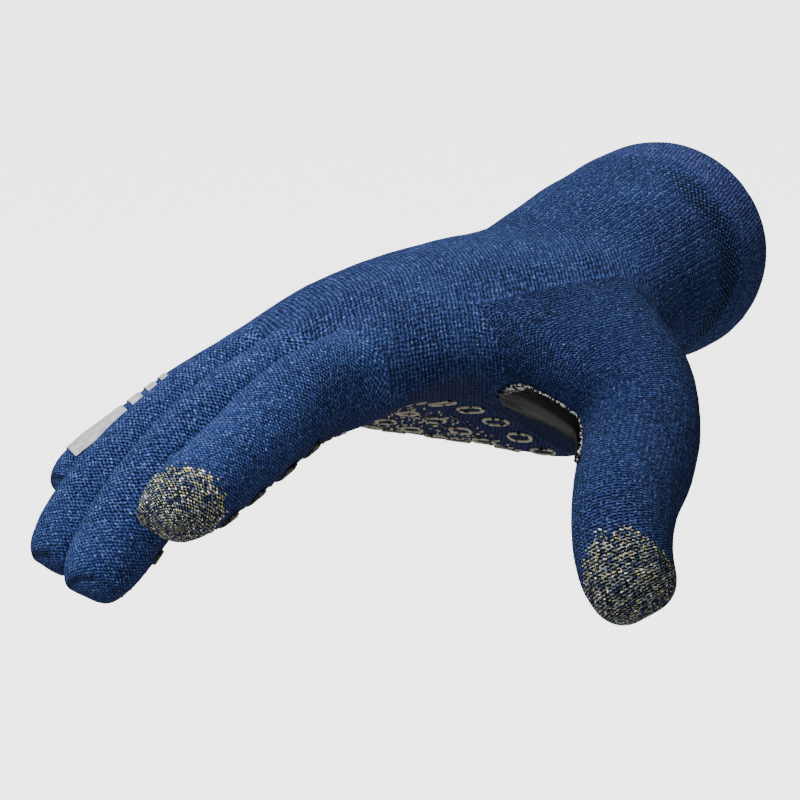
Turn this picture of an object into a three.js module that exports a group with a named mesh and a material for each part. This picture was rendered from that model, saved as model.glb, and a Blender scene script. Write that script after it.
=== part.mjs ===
// A long-finger knitted cycling glove for the right hand, hollow and in the form that it has when worn.
// Millimetres. +Z is towards the back of the hand, the fingers point to -X, and the thumb is on the -Y side.
// The origin is the middle of the open mouth of the cuff.
import * as THREE from "three";

// Driving dimensions
const WALL = 1.3;
const HEM_WALL = 2.2;
const HEM_STANDS_PROUD = 0.7;
const SEAM_GAP = 0.24; // each of two neighbours stands back by this much
const PRINT_LIFT = 0.35;
const PRINT_THICKNESS = 0.5;
const FILM_THICKNESS = 0.6;
const PALM_RING_CORNERS = 10;
const SIDES_PER_FINGER = 8;
const SHRINK = 2 / 3 + Math.cos((2 * Math.PI) / SIDES_PER_FINGER) / 3; // smoothing draws a ring in by this
const MOUTH = new THREE.Vector3(58.9, 25.4, -14.8); // middle of the mouth, seen from the wrist
const CUFF_YAW = 14.7;
const CUFF_DROP = 8.8;
const FINGER_COUNT = 4;
const BACK_POINTS = 9; // points of a hand ring across the back, and again across the palm
const RING_POINTS = 2 * BACK_POINTS + 2;
const RADIAL_SIDE = RING_POINTS - 1;

const COLOURS = {
  blue: 0x27477e,
  darkBlue: 0x1d2f5c,
  touch: 0x77776a,
  film: 0x15161a,
  print: 0x8f8a7d,
  reflector: 0xc4c7cc,
};

// Rings of the cuff from the mouth to the wrist: how far out from the wrist, half width, half height.
const CUFF_RINGS = [
  { out: 61.6, halfWidth: 34.0, halfHeight: 30.2 },
  { out: 49.5, halfWidth: 34.4, halfHeight: 30.3 },
  { out: 33.0, halfWidth: 34.4, halfHeight: 28.4 },
  { out: 16.0, halfWidth: 34.0, halfHeight: 24.5 },
];
const HEM_RINGS = 1; // rows of the cuff that belong to the hem

// Rings of the hand from the wrist to the knuckles. x, back and palm are given at the thumb side, in the
// middle and at the little finger side; y and z of the two side points; lobe is the depth between knuckles.
const HAND_RINGS = [
  { x: [8, 1, -3], back: [3, 9.5, 4], palm: [-31, -34, -30], y: [-26.5, 44], z: [-13, -11], lobe: 0 },
  { x: [-3, -9, -12], back: [5.5, 12, 5], palm: [-42, -42, -36], y: [-35, 43], z: [-17, -13], lobe: 0 },
  { x: [-23, -25, -26], back: [8, 14.5, 6], palm: [-46, -45, -41], y: [-33, 43], z: [-14, -15], lobe: 0 },
  { x: [-40, -42, -40], back: [10.5, 16.5, 6], palm: [-23, -36, -43], y: [-35, 43], z: [-8, -15], lobe: 0.3 },
  { x: [-57, -60, -54], back: [13.5, 18, 6], palm: [-9, -24, -39], y: [-36, 43], z: [-1, -14], lobe: 0.8 },
  { x: [-78, -82, -70], back: [16.5, 19, 5], palm: [-8, -15, -28], y: [-37, 41], z: [4, -10], lobe: 1.6 },
];

// Finger centre lines as joints from knuckle to the middle of the round tip.
const FINGERS = [
  {
    name: "index",
    joints: [[-78.2, -24.2, 4], [-117.9, -28.4, 5.6], [-140.6, -30.8, -2.4], [-159, -32.7, -7.3]],
  },
  {
    name: "middle",
    joints: [[-80.9, -6, 5.8], [-123.9, -6.3, -2.4], [-148.9, -6.4, -13.8], [-164.7, -6.5, -27.6]],
  },
  {
    name: "ring",
    joints: [[-76.3, 11.6, 3.2], [-115.3, 17.4, -7.7], [-138.8, 20.9, -18.5], [-154.6, 23.2, -32.1]],
  },
  {
    name: "little",
    joints: [[-69.8, 27.9, -4.5], [-99, 37.2, -13.9], [-115.9, 42.6, -21.1], [-131.7, 47.6, -28.4]],
  },
];

// Rings of a finger: bone, how far along that bone, and half width and half height as shares of the girth
// at the knuckle. The first ring is the crotch.
const FINGER_RINGS = [
  { bone: 0, along: 0.5, width: 0.8, height: 0.99 },
  { bone: 0, along: 0.68, width: 0.72, height: 0.97 },
  { bone: 0, along: 0.96, width: 0.79, height: 0.95 },
  { bone: 1, along: 0.35, width: 0.86, height: 0.89 },
  { bone: 1, along: 0.9, width: 0.83, height: 0.83 },
  { bone: 2, along: 0.42, width: 0.82, height: 0.8 },
  { bone: 2, along: 0.95, width: 0.8, height: 0.76 },
  { bone: 2, along: 1.42, width: 0.56, height: 0.5 },
];
const GIRTH = { index: 12.6, middle: 12.7, ring: 12.1, little: 10.8 };
const TOUCH_ROW = 6; // the touch tip of the index starts at this ring

// The thumb from its root to its tip: middle, half size across the web, half size from nail to pad, how far
// the web side is ahead of the outer side, and the direction in which the web lies.
const THUMB_RINGS = [
  { at: [-19.5, -43, -19], across: 24.5, deep: 16.5, ahead: 0, web: [-0.97, -0.02, 0.24] },
  { at: [-29.2, -55, -27.6], across: 16.8, deep: 15.5, ahead: 0, web: [-0.88, 0.36, 0.31] },
  { at: [-42.4, -63.4, -32.8], across: 14.6, deep: 14, ahead: 0, web: [-0.81, 0.46, 0.36] },
  { at: [-51.4, -69.5, -36.1], across: 13.7, deep: 13.2, ahead: 1, web: [-0.81, 0.46, 0.36] },
  { at: [-58.5, -76.6, -43.6], across: 13.2, deep: 12.7, ahead: 3, web: [-0.81, 0.46, 0.36] },
  { at: [-60, -81.5, -49.8], across: 12, deep: 12, ahead: 1.4, web: [-0.81, 0.46, 0.36] },
  { at: [-58.8, -86, -56], across: 8.8, deep: 8.4, ahead: -0.5, web: [-0.81, 0.46, 0.36] },
];
const THUMB_HOLE = {
  firstRing: 1,
  lastRing: 4,
  columns: [1, 0, RADIAL_SIDE, RADIAL_SIDE - 1, RADIAL_SIDE - 2],
};
const THUMB_LOOP_POINTS = 2 * (THUMB_HOLE.columns.length + THUMB_HOLE.lastRing - THUMB_HOLE.firstRing - 1);
const THUMB_TOUCH_ROW = 5;

const vector = (a) => new THREE.Vector3(a[0], a[1], a[2]);
const mix = THREE.MathUtils.lerp;
const degrees = THREE.MathUtils.degToRad;

// A value given at the thumb side, in the middle and at the little finger side, read at share s of the way.
function acrossHand([radial, middle, ulnar], s) {
  const a = 2 * (s - 0.5) * (s - 1);
  const b = 4 * s * (1 - s);
  const c = 2 * s * (s - 0.5);
  return a * radial + b * middle + c * ulnar;
}

// A coarse cage of points and faces; each face remembers the piece and the cell that it belongs to.
class Cage {
  constructor() {
    this.points = [];
    this.faces = [];
  }

  addRing(points) {
    return points.map((p) => this.points.push(p.clone()) - 1);
  }

  // Faces between two closed rings that have as many points as each other.
  addBand(near, far, tube, row, pieceOf, skip = () => false) {
    near.forEach((_, i) => {
      const next = (i + 1) % near.length;
      if (skip(i)) return;
      const corners = [near[i], near[next], far[next], far[i]];
      this.faces.push({ corners, piece: pieceOf(row), cell: `${tube}:${row}:${i}` });
    });
  }

  // Closes a ring as a knitted tip is closed: along one line across it, between back and palm.
  addClosing(ring, backPoints, piece) {
    const last = ring.length - 1;
    const spare = (ring.length - 2 * backPoints) / 2;
    for (let i = 0; i < backPoints - 1; i += 1) {
      const corners = [ring[i], ring[i + 1], ring[last - spare - i - 1], ring[last - spare - i]];
      this.faces.push({ corners, piece, cell: "" });
    }
    const far = ring.slice(backPoints - 1, backPoints + spare + 1);
    const near = [...ring.slice(ring.length - spare - 1), ring[0]];
    this.faces.push({ corners: far, piece, cell: "" });
    this.faces.push({ corners: near, piece, cell: "" });
  }
}

const edgeKey = (a, b) => (a < b ? `${a}_${b}` : `${b}_${a}`);

// One step of Catmull-Clark smoothing, after which each point is moved to the smooth surface itself.
function smoothSurface(cage) {
  const points = [];
  const middles = cage.faces.map(({ corners }) => {
    const sum = new THREE.Vector3();
    corners.forEach((c) => sum.add(cage.points[c]));
    return sum.divideScalar(corners.length);
  });
  const edges = new Map();
  cage.faces.forEach(({ corners }, f) => {
    corners.forEach((a, i) => {
      const b = corners[(i + 1) % corners.length];
      const key = edgeKey(a, b);
      if (!edges.has(key)) edges.set(key, { ends: [a, b], faces: [] });
      edges.get(key).faces.push(f);
    });
  });
  const around = cage.points.map(() => ({ edges: [], faces: new Set() }));
  edges.forEach((edge) => {
    edge.ends.forEach((v) => {
      around[v].edges.push(edge);
      edge.faces.forEach((f) => around[v].faces.add(f));
    });
  });
  const oldPoint = cage.points.map((p, v) => {
    const open = around[v].edges.filter((e) => e.faces.length === 1);
    const moved = new THREE.Vector3();
    if (open.length) {
      open.forEach((e) => e.ends.forEach((end) => moved.addScaledVector(cage.points[end], 1 / 8)));
      moved.addScaledVector(p, 1 / 2);
    } else {
      const n = around[v].edges.length;
      const faceMean = new THREE.Vector3();
      const edgeMean = new THREE.Vector3();
      around[v].faces.forEach((f) => faceMean.addScaledVector(middles[f], 1 / n));
      around[v].edges.forEach((e) => {
        e.ends.forEach((end) => edgeMean.addScaledVector(cage.points[end], 0.5 / n));
      });
      moved.add(faceMean).addScaledVector(edgeMean, 2).addScaledVector(p, n - 3).divideScalar(n);
    }
    return points.push(moved) - 1;
  });
  edges.forEach((edge) => {
    const sum = new THREE.Vector3();
    edge.ends.forEach((end) => sum.add(cage.points[end]));
    if (edge.faces.length === 2) edge.faces.forEach((f) => sum.add(middles[f]));
    edge.point = points.push(sum.divideScalar(edge.faces.length === 2 ? 4 : 2)) - 1;
  });
  const facePoint = middles.map((m) => points.push(m.clone()) - 1);
  const quads = [];
  const cells = new Map();
  cage.faces.forEach(({ corners, piece, cell }, f) => {
    const edgePoints = corners.map((a, i) => edges.get(edgeKey(a, corners[(i + 1) % corners.length])).point);
    corners.forEach((c, i) => {
      const before = edgePoints[(i + corners.length - 1) % corners.length];
      quads.push({ corners: [oldPoint[c], edgePoints[i], facePoint[f], before], piece, cage: f });
    });
    if (cell) {
      const [a, b, c, d] = corners.map((v) => oldPoint[v]);
      const [ab, bc, cd, da] = edgePoints;
      cells.set(cell, [[a, ab, b], [da, facePoint[f], bc], [d, cd, c]]);
    }
  });
  return { points: limitPoints(points, quads), quads, cells };
}

// Where each point of an all-quad mesh ends up when the smoothing is carried on for ever.
function limitPoints(points, quads) {
  const touching = points.map(() => ({ along: new Map(), across: new THREE.Vector3(), count: 0 }));
  quads.forEach(({ corners }) => {
    corners.forEach((c, i) => {
      const t = touching[c];
      const next = corners[(i + 1) % 4];
      const before = corners[(i + 3) % 4];
      [next, before].forEach((n) => t.along.set(n, (t.along.get(n) ?? 0) + 1));
      t.across.add(points[corners[(i + 2) % 4]]);
      t.count += 1;
    });
  });
  return points.map((p, v) => {
    const { along, across, count } = touching[v];
    const open = [...along].filter(([, uses]) => uses === 1).map(([n]) => n);
    if (open.length) {
      const edge = new THREE.Vector3();
      open.forEach((n) => edge.add(points[n]));
      return edge.addScaledVector(p, 4).divideScalar(6);
    }
    const sum = across.clone();
    along.forEach((_, n) => sum.addScaledVector(points[n], 4));
    return sum.addScaledVector(p, count * count).divideScalar(count * (count + 5));
  });
}

function quadNormal(points, corners) {
  const [a, b, c, d] = corners.map((v) => points[v]);
  return new THREE.Vector3().crossVectors(c.clone().sub(a), d.clone().sub(b));
}

function pointNormals({ points, quads }) {
  const normals = points.map(() => new THREE.Vector3());
  quads.forEach(({ corners }) => {
    const n = quadNormal(points, corners);
    corners.forEach((c) => normals[c].add(n));
  });
  return normals.map((n) => n.normalize());
}

// A closed body between an outer and an inner sheet of quads that share their numbering.
function bodyBetween(outer, inner, quads) {
  const position = [...outer, ...inner].flatMap((p) => [p.x, p.y, p.z]);
  const index = [];
  const shift = outer.length;
  const uses = new Map();
  quads.forEach(([a, b, c, d]) => {
    index.push(a, b, c, a, c, d);
    index.push(a + shift, c + shift, b + shift, a + shift, d + shift, c + shift);
    [[a, b], [b, c], [c, d], [d, a]].forEach(([u, v]) => {
      const key = edgeKey(u, v);
      if (uses.has(key)) uses.delete(key);
      else uses.set(key, [u, v]);
    });
  });
  uses.forEach(([u, v]) => index.push(u, u + shift, v + shift, u, v + shift, v));
  const geometry = new THREE.BufferGeometry();
  geometry.setAttribute("position", new THREE.Float32BufferAttribute(position, 3));
  geometry.setIndex(index);
  geometry.computeVertexNormals();
  return geometry;
}

// The wall of one piece: its quads of the smooth surface, given a thickness inwards, with its free edges
// drawn back a little so that neighbours stay clear of each other.
function wallOf(surface, normals, isMine, { thickness = WALL, proud = 0 }) {
  const mine = surface.quads.filter(isMine);
  const number = new Map();
  const uses = new Map();
  mine.forEach(({ corners }) => {
    corners.forEach((c, i) => {
      if (!number.has(c)) number.set(c, number.size);
      const key = edgeKey(c, corners[(i + 1) % 4]);
      uses.set(key, (uses.get(key) ?? 0) + 1);
    });
  });
  const free = new Set();
  uses.forEach((count, key) => {
    if (count === 1) key.split("_").forEach((v) => free.add(Number(v)));
  });
  const pull = new Map([...free].map((v) => [v, new THREE.Vector3()]));
  mine.forEach(({ corners }) => {
    const middle = new THREE.Vector3();
    corners.forEach((c) => middle.addScaledVector(surface.points[c], 0.25));
    corners.filter((c) => free.has(c)).forEach((c) => pull.get(c).add(middle).sub(surface.points[c]));
  });
  const outer = [];
  const inner = [];
  number.forEach((i, v) => {
    const p = surface.points[v].clone();
    const n = normals[v];
    if (free.has(v)) p.addScaledVector(pull.get(v).projectOnPlane(n).normalize(), SEAM_GAP);
    outer[i] = p.clone().addScaledVector(n, proud);
    inner[i] = p.addScaledVector(n, proud - thickness);
  });
  return bodyBetween(outer, inner, mine.map(({ corners }) => corners.map((c) => number.get(c))));
}

// Reads the smooth surface of a tube at a fractional row and column, lifted off it by some height.
function surfaceReader(surface, normals, tube, columns) {
  const weights = (t) => [2 * (t - 0.5) * (t - 1), 4 * t * (1 - t), 2 * t * (t - 0.5)];
  return (row, column, lift) => {
    const wrapped = ((column % columns) + columns) % columns;
    const r = Math.floor(row);
    const c = Math.floor(wrapped);
    const grid = surface.cells.get(`${tube}:${r}:${c}`);
    const wr = weights(row - r);
    const wc = weights(wrapped - c);
    const p = new THREE.Vector3();
    const n = new THREE.Vector3();
    grid.forEach((line, i) => {
      line.forEach((v, j) => {
        p.addScaledVector(surface.points[v], wr[i] * wc[j]);
        n.addScaledVector(normals[v], wr[i] * wc[j]);
      });
    });
    return p.addScaledVector(n.normalize(), lift);
  };
}

// A thin pad on a tube, over a range of rows and columns.
function padOn(read, { rows: [row0, row1], columns: [column0, column1], steps }, thickness) {
  const outer = [];
  const inner = [];
  const quads = [];
  const [rowSteps, columnSteps] = steps;
  for (let i = 0; i <= rowSteps; i += 1) {
    for (let j = 0; j <= columnSteps; j += 1) {
      const row = mix(row0, row1, i / rowSteps);
      const column = mix(column0, column1, j / columnSteps);
      outer.push(read(row, column, PRINT_LIFT + thickness));
      inner.push(read(row, column, PRINT_LIFT));
      if (i && j) {
        const at = outer.length - 1;
        const below = at - columnSteps - 1;
        const corners = [below - 1, below, at, at - 1];
        if ((i + j) % 2) corners.push(corners.shift());
        quads.push(corners);
      }
    }
  }
  return bodyBetween(outer, inner, quads);
}

// A raised closed ring printed on a tube, its outline a rounded slot of a given length and width.
function ringOn(read, row, column, { length, width, line, turn }) {
  const step = 0.05; // of a row or a column, to find how many millimetres each spans
  const alongRow = read(row + step, column, 0).sub(read(row - step, column, 0)).length() / (2 * step);
  const alongColumn = read(row, column + step, 0).sub(read(row, column - step, 0)).length() / (2 * step);
  const outer = [];
  const inner = [];
  const quads = [];
  for (let i = 0; i < PALM_RING_CORNERS; i += 1) {
    const angle = (2 * Math.PI * i) / PALM_RING_CORNERS;
    [0, line].forEach((inset) => {
      const x = (length / 2 - inset) * Math.cos(angle);
      const y = (width / 2 - inset) * Math.sin(angle);
      const r = row + (x * Math.cos(turn) - y * Math.sin(turn)) / alongRow;
      const c = column + (x * Math.sin(turn) + y * Math.cos(turn)) / alongColumn;
      outer.push(read(r, c, PRINT_LIFT + PRINT_THICKNESS));
      inner.push(read(r, c, PRINT_LIFT));
    });
    const here = 2 * i;
    const next = (2 * i + 2) % (2 * PALM_RING_CORNERS);
    quads.push([here, here + 1, next + 1, next]);
  }
  return bodyBetween(outer, inner, quads);
}

// Rings of the cage

function cuffFrame() {
  const out = new THREE.Vector3(1, 0, 0);
  out.applyAxisAngle(new THREE.Vector3(0, 1, 0), degrees(CUFF_DROP));
  out.applyAxisAngle(new THREE.Vector3(0, 0, 1), degrees(CUFF_YAW));
  const side = new THREE.Vector3(0, 0, 1).cross(out).normalize();
  return { side, up: out.clone().cross(side) };
}

const WRIST = new THREE.Vector3(0, 10, -10.5);

function cuffRing({ out, halfWidth, halfHeight }) {
  const { side, up } = cuffFrame();
  const middle = WRIST.clone().lerp(MOUTH, out / CUFF_RINGS[0].out);
  return Array.from({ length: RING_POINTS }, (_, i) => {
    const angle = Math.PI - (2 * Math.PI * (i + 1)) / RING_POINTS;
    const p = middle.clone().addScaledVector(side, halfWidth * Math.cos(angle));
    return p.addScaledVector(up, halfHeight * Math.sin(angle));
  });
}

const EDGE_INSET = 3; // how far the outermost back and palm points stand in from the sides of the hand
const EDGE_DROP = 5; // how far they turn over towards the sides
const EDGE_SHARPNESS = 6;

function handRing({ x, back, palm, y, z, lobe }) {
  const across = (j, heights, sign) => {
    const s = j / (BACK_POINTS - 1);
    const turnOver = EDGE_DROP * Math.abs(2 * s - 1) ** EDGE_SHARPNESS;
    const groove = j % 2 === 0 ? lobe : 0;
    const height = acrossHand(heights, s) - sign * (turnOver + groove);
    return new THREE.Vector3(acrossHand(x, s), mix(y[0] + EDGE_INSET, y[1] - EDGE_INSET, s), height);
  };
  const steps = [...Array(BACK_POINTS).keys()];
  return [
    ...steps.map((j) => across(j, back, 1)),
    new THREE.Vector3(x[2], y[1], z[1]),
    ...steps.reverse().map((j) => across(j, palm, -1)),
    new THREE.Vector3(x[0], y[0], z[0]),
  ];
}

const STIFF_SHARE = 0.2; // middle share of a bone along which its direction stays the same

// Middle and direction of a place on a chain of bones; the direction turns evenly through each joint.
function placeOnBones(joints, bone, along) {
  const directions = joints.slice(1).map((joint, i) => joint.clone().sub(joints[i]).normalize());
  const middle = joints[bone].clone().lerp(joints[bone + 1], along);
  const neighbour = directions[along > 0.5 ? bone + 1 : bone - 1] ?? directions[bone];
  const fromMiddle = Math.max(0, 2 * Math.abs(along - 0.5) - STIFF_SHARE) / (1 - STIFF_SHARE);
  const share = Math.min(fromMiddle, 1) / 2;
  return { middle, direction: directions[bone].clone().lerp(neighbour, share).normalize() };
}

const FIRST_ANGLE = 135; // of the first point of a finger ring, on the back at the thumb side

function fingerRing({ name, joints }, { bone, along, width, height }) {
  const { middle, direction } = placeOnBones(joints.map(vector), bone, along);
  const side = direction.clone().cross(new THREE.Vector3(0, 0, 1)).normalize();
  const up = side.clone().cross(direction);
  const girth = GIRTH[name] / SHRINK;
  return Array.from({ length: SIDES_PER_FINGER }, (_, i) => {
    const angle = degrees(FIRST_ANGLE - (360 * i) / SIDES_PER_FINGER);
    const p = middle.clone().addScaledVector(side, girth * width * Math.cos(angle));
    return p.addScaledVector(up, girth * height * Math.sin(angle));
  });
}

function thumbRing({ at, across, deep, ahead, web: towardsWeb }, direction, count) {
  const web = vector(towardsWeb);
  web.addScaledVector(direction, -web.dot(direction)).normalize();
  const nail = web.clone().cross(direction);
  return Array.from({ length: count }, (_, i) => {
    const angle = (2 * Math.PI * (2 - i)) / count;
    const p = vector(at).addScaledVector(web, across * Math.cos(angle));
    p.addScaledVector(direction, ahead * Math.cos(angle));
    return p.addScaledVector(nail, deep * Math.sin(angle));
  });
}

// The cage of the whole glove
function buildCage() {
  const cage = new Cage();
  const cuffRings = CUFF_RINGS.map((ring) => cage.addRing(cuffRing(ring)));
  const handRings = HAND_RINGS.map((ring) => cage.addRing(handRing(ring)));
  const cuffPiece = (row) => (row < HEM_RINGS ? "cuff_hem" : "cuff");
  [...cuffRings, handRings[0]].forEach((ring, row, rings) => {
    if (row) cage.addBand(rings[row - 1], ring, "cuff", row - 1, cuffPiece);
  });

  // Crotch: neighbours share the back point, the middle point and the palm point between them.
  const crotches = FINGERS.map((finger) => fingerRing(finger, FINGER_RINGS[0]));
  const average = (p, q) => p.clone().add(q).multiplyScalar(0.5);
  const backTurn = SIDES_PER_FINGER / 2 - 2;
  const sideTurn = backTurn + 1;
  const palmTurn = sideTurn + 1;
  const palmStart = palmTurn + backTurn;
  const crotchRings = [];
  crotches.forEach((points, k) => {
    const ring = cage.addRing(points);
    const previous = crotchRings[k - 1];
    if (previous) {
      [[0, backTurn], [palmStart, palmTurn], [palmStart + 1, sideTurn]].forEach(([mine, theirs]) => {
        const shared = previous[theirs];
        cage.points[shared] = average(cage.points[shared], cage.points[ring[mine]]);
        ring[mine] = shared;
      });
    }
    crotchRings.push(ring);
  });
  const knuckleFront = [
    ...crotchRings.flatMap((ring, k) => ring.slice(k ? 1 : 0, backTurn + 1)),
    crotchRings[FINGER_COUNT - 1][sideTurn],
    ...crotchRings.map((ring, k) => ring.slice(palmTurn, palmStart + (k ? 0 : 1))).reverse().flat(),
    crotchRings[0][palmStart + 1],
  ];
  const inHole = (row, i) =>
    row >= THUMB_HOLE.firstRing && row < THUMB_HOLE.lastRing && (i === 0 || i >= RADIAL_SIDE - 2);
  [...handRings, knuckleFront].forEach((ring, row, rings) => {
    const skip = (i) => inHole(row - 1, i);
    if (row) cage.addBand(rings[row - 1], ring, "hand", row - 1, () => "hand_body", skip);
  });

  FINGERS.forEach((finger, k) => {
    const pieceOf = (row) => (k === 0 && row >= TOUCH_ROW ? "index_touch_tip" : `${finger.name}_stall`);
    const rings = [crotchRings[k], ...FINGER_RINGS.slice(1).map((r) => cage.addRing(fingerRing(finger, r)))];
    rings.slice(1).forEach((ring, row) => cage.addBand(rings[row], ring, finger.name, row, pieceOf));
    cage.addClosing(rings.at(-1), backTurn + 1, pieceOf(rings.length));
  });

  const { firstRing, lastRing, columns } = THUMB_HOLE;
  const between = handRings.slice(firstRing + 1, lastRing);
  const loop = [
    ...columns.map((c) => handRings[lastRing][c]),
    ...between.map((ring) => ring[columns.at(-1)]).reverse(),
    ...columns.map((c) => handRings[firstRing][c]).reverse(),
    ...between.map((ring) => ring[columns[0]]),
  ];
  const holeMiddle = new THREE.Vector3();
  loop.forEach((v) => holeMiddle.addScaledVector(cage.points[v], 1 / loop.length));
  const path = [holeMiddle, ...THUMB_RINGS.map(({ at }) => vector(at))];
  const rings = [loop];
  THUMB_RINGS.forEach((ring, i) => {
    const direction = path[Math.min(i + 2, path.length - 1)].clone().sub(path[i]).normalize();
    rings.push(cage.addRing(thumbRing(ring, direction, loop.length)));
  });
  const thumbPiece = (row) => (row >= THUMB_TOUCH_ROW ? "thumb_touch_tip" : "thumb_stall");
  rings.slice(1).forEach((ring, row) => cage.addBand(rings[row], ring, "thumb", row, thumbPiece));
  cage.addClosing(rings.at(-1), columns.length, "thumb_touch_tip");
  return cage;
}

// Pieces
const cloth = (color) => new THREE.MeshStandardMaterial({ color, roughness: 0.95, metalness: 0 });
// Thin pieces on the knit, by tube, rows and columns of the cage
const WEB_PATCH = { rows: [0, 3], columns: [2, 4], steps: [6, 4] };
const REFLECTOR_BARS = [
  { rows: [4.12, 5.97], columns: [0.4, 1.9], steps: [5, 3] },
  { rows: [3.58, 3.93], columns: [0.4, 1.9], steps: [1, 3] },
  { rows: [3.1, 3.4], columns: [0.4, 1.9], steps: [1, 3] },
  { rows: [2.72, 2.95], columns: [0.4, 1.9], steps: [1, 3] },
];
const GRIPS = { index: [2.4, 3.3, 4.2, 5.1], middle: [2.4, 3.3, 4.2, 5.1] };
const GRIP_COLUMNS = [4.6, 6.2];
const GRIP_LENGTH = 0.35;
const PALM_RING = { length: 6, width: 7.6, line: 1.3, turn: degrees(20) };
// Lines of palm rings along the hand: the tube and column that each runs on, its first row and how many.
const PALM_RING_LINES = [
  { tube: "hand", column: 16.45, first: 2.35, count: 6 },
  { tube: "hand", column: 14.9, first: 2.3, count: 5 },
  { tube: "hand", column: 13.3, first: 2.1, count: 5 },
  { tube: "hand", column: 11.7, first: 2.3, count: 5 },
];
const PALM_RING_SPACING = 0.47; // in rows

const MATERIALS = {
  knit: cloth(COLOURS.blue),
  hem: cloth(COLOURS.darkBlue),
  touch: cloth(COLOURS.touch),
  film: new THREE.MeshStandardMaterial({ color: COLOURS.film, roughness: 0.25, metalness: 0 }),
  print: new THREE.MeshStandardMaterial({ color: COLOURS.print, roughness: 0.6, metalness: 0 }),
  reflector: new THREE.MeshStandardMaterial({ color: COLOURS.reflector, roughness: 0.4, metalness: 0.2 }),
};

const cage = buildCage();
const surface = smoothSurface(cage);
const normals = pointNormals(surface);
const glove = new THREE.Group();
glove.position.copy(MOUTH).negate();

function addPiece(name, geometry, material) {
  const mesh = new THREE.Mesh(geometry, material);
  mesh.name = name;
  glove.add(mesh);
}

const KNIT_PIECES = [
  { name: "cuff_hem", material: MATERIALS.hem, wall: { thickness: HEM_WALL, proud: HEM_STANDS_PROUD } },
  { name: "cuff", material: MATERIALS.knit, wall: {} },
  { name: "hand_body", material: MATERIALS.knit, wall: {} },
  ...FINGERS.map(({ name }) => ({ name: `${name}_stall`, material: MATERIALS.knit, wall: {} })),
  { name: "thumb_stall", material: MATERIALS.knit, wall: {} },
  { name: "index_touch_tip", material: MATERIALS.touch, wall: {} },
  { name: "thumb_touch_tip", material: MATERIALS.touch, wall: {} },
];
KNIT_PIECES.forEach(({ name, material, wall }) => {
  addPiece(name, wallOf(surface, normals, ({ piece }) => piece === name, wall), material);
});

const TUBE_COLUMNS = { hand: RING_POINTS, thumb: THUMB_LOOP_POINTS };
const reader = (tube) => surfaceReader(surface, normals, tube, TUBE_COLUMNS[tube] ?? SIDES_PER_FINGER);

addPiece("web_patch", padOn(reader("thumb"), WEB_PATCH, FILM_THICKNESS), MATERIALS.film);
REFLECTOR_BARS.forEach((bar, i) => {
  addPiece(`reflector_bar_${i + 1}`, padOn(reader("little"), bar, PRINT_THICKNESS), MATERIALS.reflector);
});
Object.entries(GRIPS).forEach(([finger, rows]) => {
  rows.forEach((row, i) => {
    const grip = { rows: [row, row + GRIP_LENGTH], columns: GRIP_COLUMNS, steps: [1, 3] };
    addPiece(`${finger}_grip_${i + 1}`, padOn(reader(finger), grip, PRINT_THICKNESS), MATERIALS.print);
  });
});
PALM_RING_LINES.flatMap(({ tube, column, first, count }) =>
  Array.from({ length: count }, (_, i) => ({ tube, row: first + i * PALM_RING_SPACING, column })),
).forEach(({ tube, row, column }, i) => {
  const name = `palm_ring_${String(i + 1).padStart(2, "0")}`;
  addPiece(name, ringOn(reader(tube), row, column, PALM_RING), MATERIALS.print);
});

const root = new THREE.Group();
root.name = "glove";
root.add(glove);

export default root;
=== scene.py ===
"""A long-finger knitted cycling glove for the right hand, in the form that it has when worn.

Metres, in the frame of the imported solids: +X runs out of the cuff, the fingers point to -X, +Z is towards
the back of the hand, and the thumb is on the -Y side. The origin is the middle of the cuff's open mouth.
"""

import logging
import math
import random
from dataclasses import dataclass, field, replace
from enum import Enum
from typing import Callable, Iterable, Optional, Sequence, Union

import bmesh
import bpy
from bmesh.types import BMEdge, BMFace, BMVert
from mathutils import Matrix, Vector, noise
from mathutils.bvhtree import BVHTree
from mathutils.interpolate import poly_3d_calc


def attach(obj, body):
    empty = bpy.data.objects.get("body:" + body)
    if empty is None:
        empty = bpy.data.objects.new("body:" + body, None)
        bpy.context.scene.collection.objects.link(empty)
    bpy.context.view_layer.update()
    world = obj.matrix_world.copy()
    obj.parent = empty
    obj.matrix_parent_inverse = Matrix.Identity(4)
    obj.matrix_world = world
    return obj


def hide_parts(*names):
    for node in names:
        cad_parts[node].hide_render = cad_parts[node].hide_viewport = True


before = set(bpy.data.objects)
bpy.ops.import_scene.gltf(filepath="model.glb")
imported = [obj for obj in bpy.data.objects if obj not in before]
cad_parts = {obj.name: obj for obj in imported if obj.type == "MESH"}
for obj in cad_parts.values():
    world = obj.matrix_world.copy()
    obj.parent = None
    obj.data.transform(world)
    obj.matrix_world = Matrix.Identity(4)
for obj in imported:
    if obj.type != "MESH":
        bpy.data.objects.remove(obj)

log = logging.getLogger("glove")

MM = 0.001
MOUTH = Vector((58.9, 25.4, -14.8))  # middle of the mouth, measured from the wrist, in mm
WRIST = Vector((0.0, 10.0, -10.5))  # where the cuff's middle line starts, in mm
WALL = 1.3 * MM
SMOOTHING = 3
TUBE_STRIDE = 100.0  # keeps the tubes apart on the place map
STRIDE_MARGIN = 2.0  # more than a tube's columns reach below its own stretch of that map


def row_frame(point: Iterable[float]) -> Vector:
    """Turns millimetres from the wrist into metres from the mouth of the cuff.

    Args:
        point: Three numbers in millimetres.

    Returns:
        The place in the frame of the part.
    """
    return (Vector(point) - MOUTH) * MM


def blend_number(a: float, b: float, t: float) -> float:
    """A number a share t of the way from a to b."""
    return a + (b - a) * t


def ease(low: float, high: float, value: float) -> float:
    """Rises smoothly from 0 at low to 1 at high."""
    t = min(max((value - low) / (high - low), 0.0), 1.0)
    return t * t * (3 - 2 * t)


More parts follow.
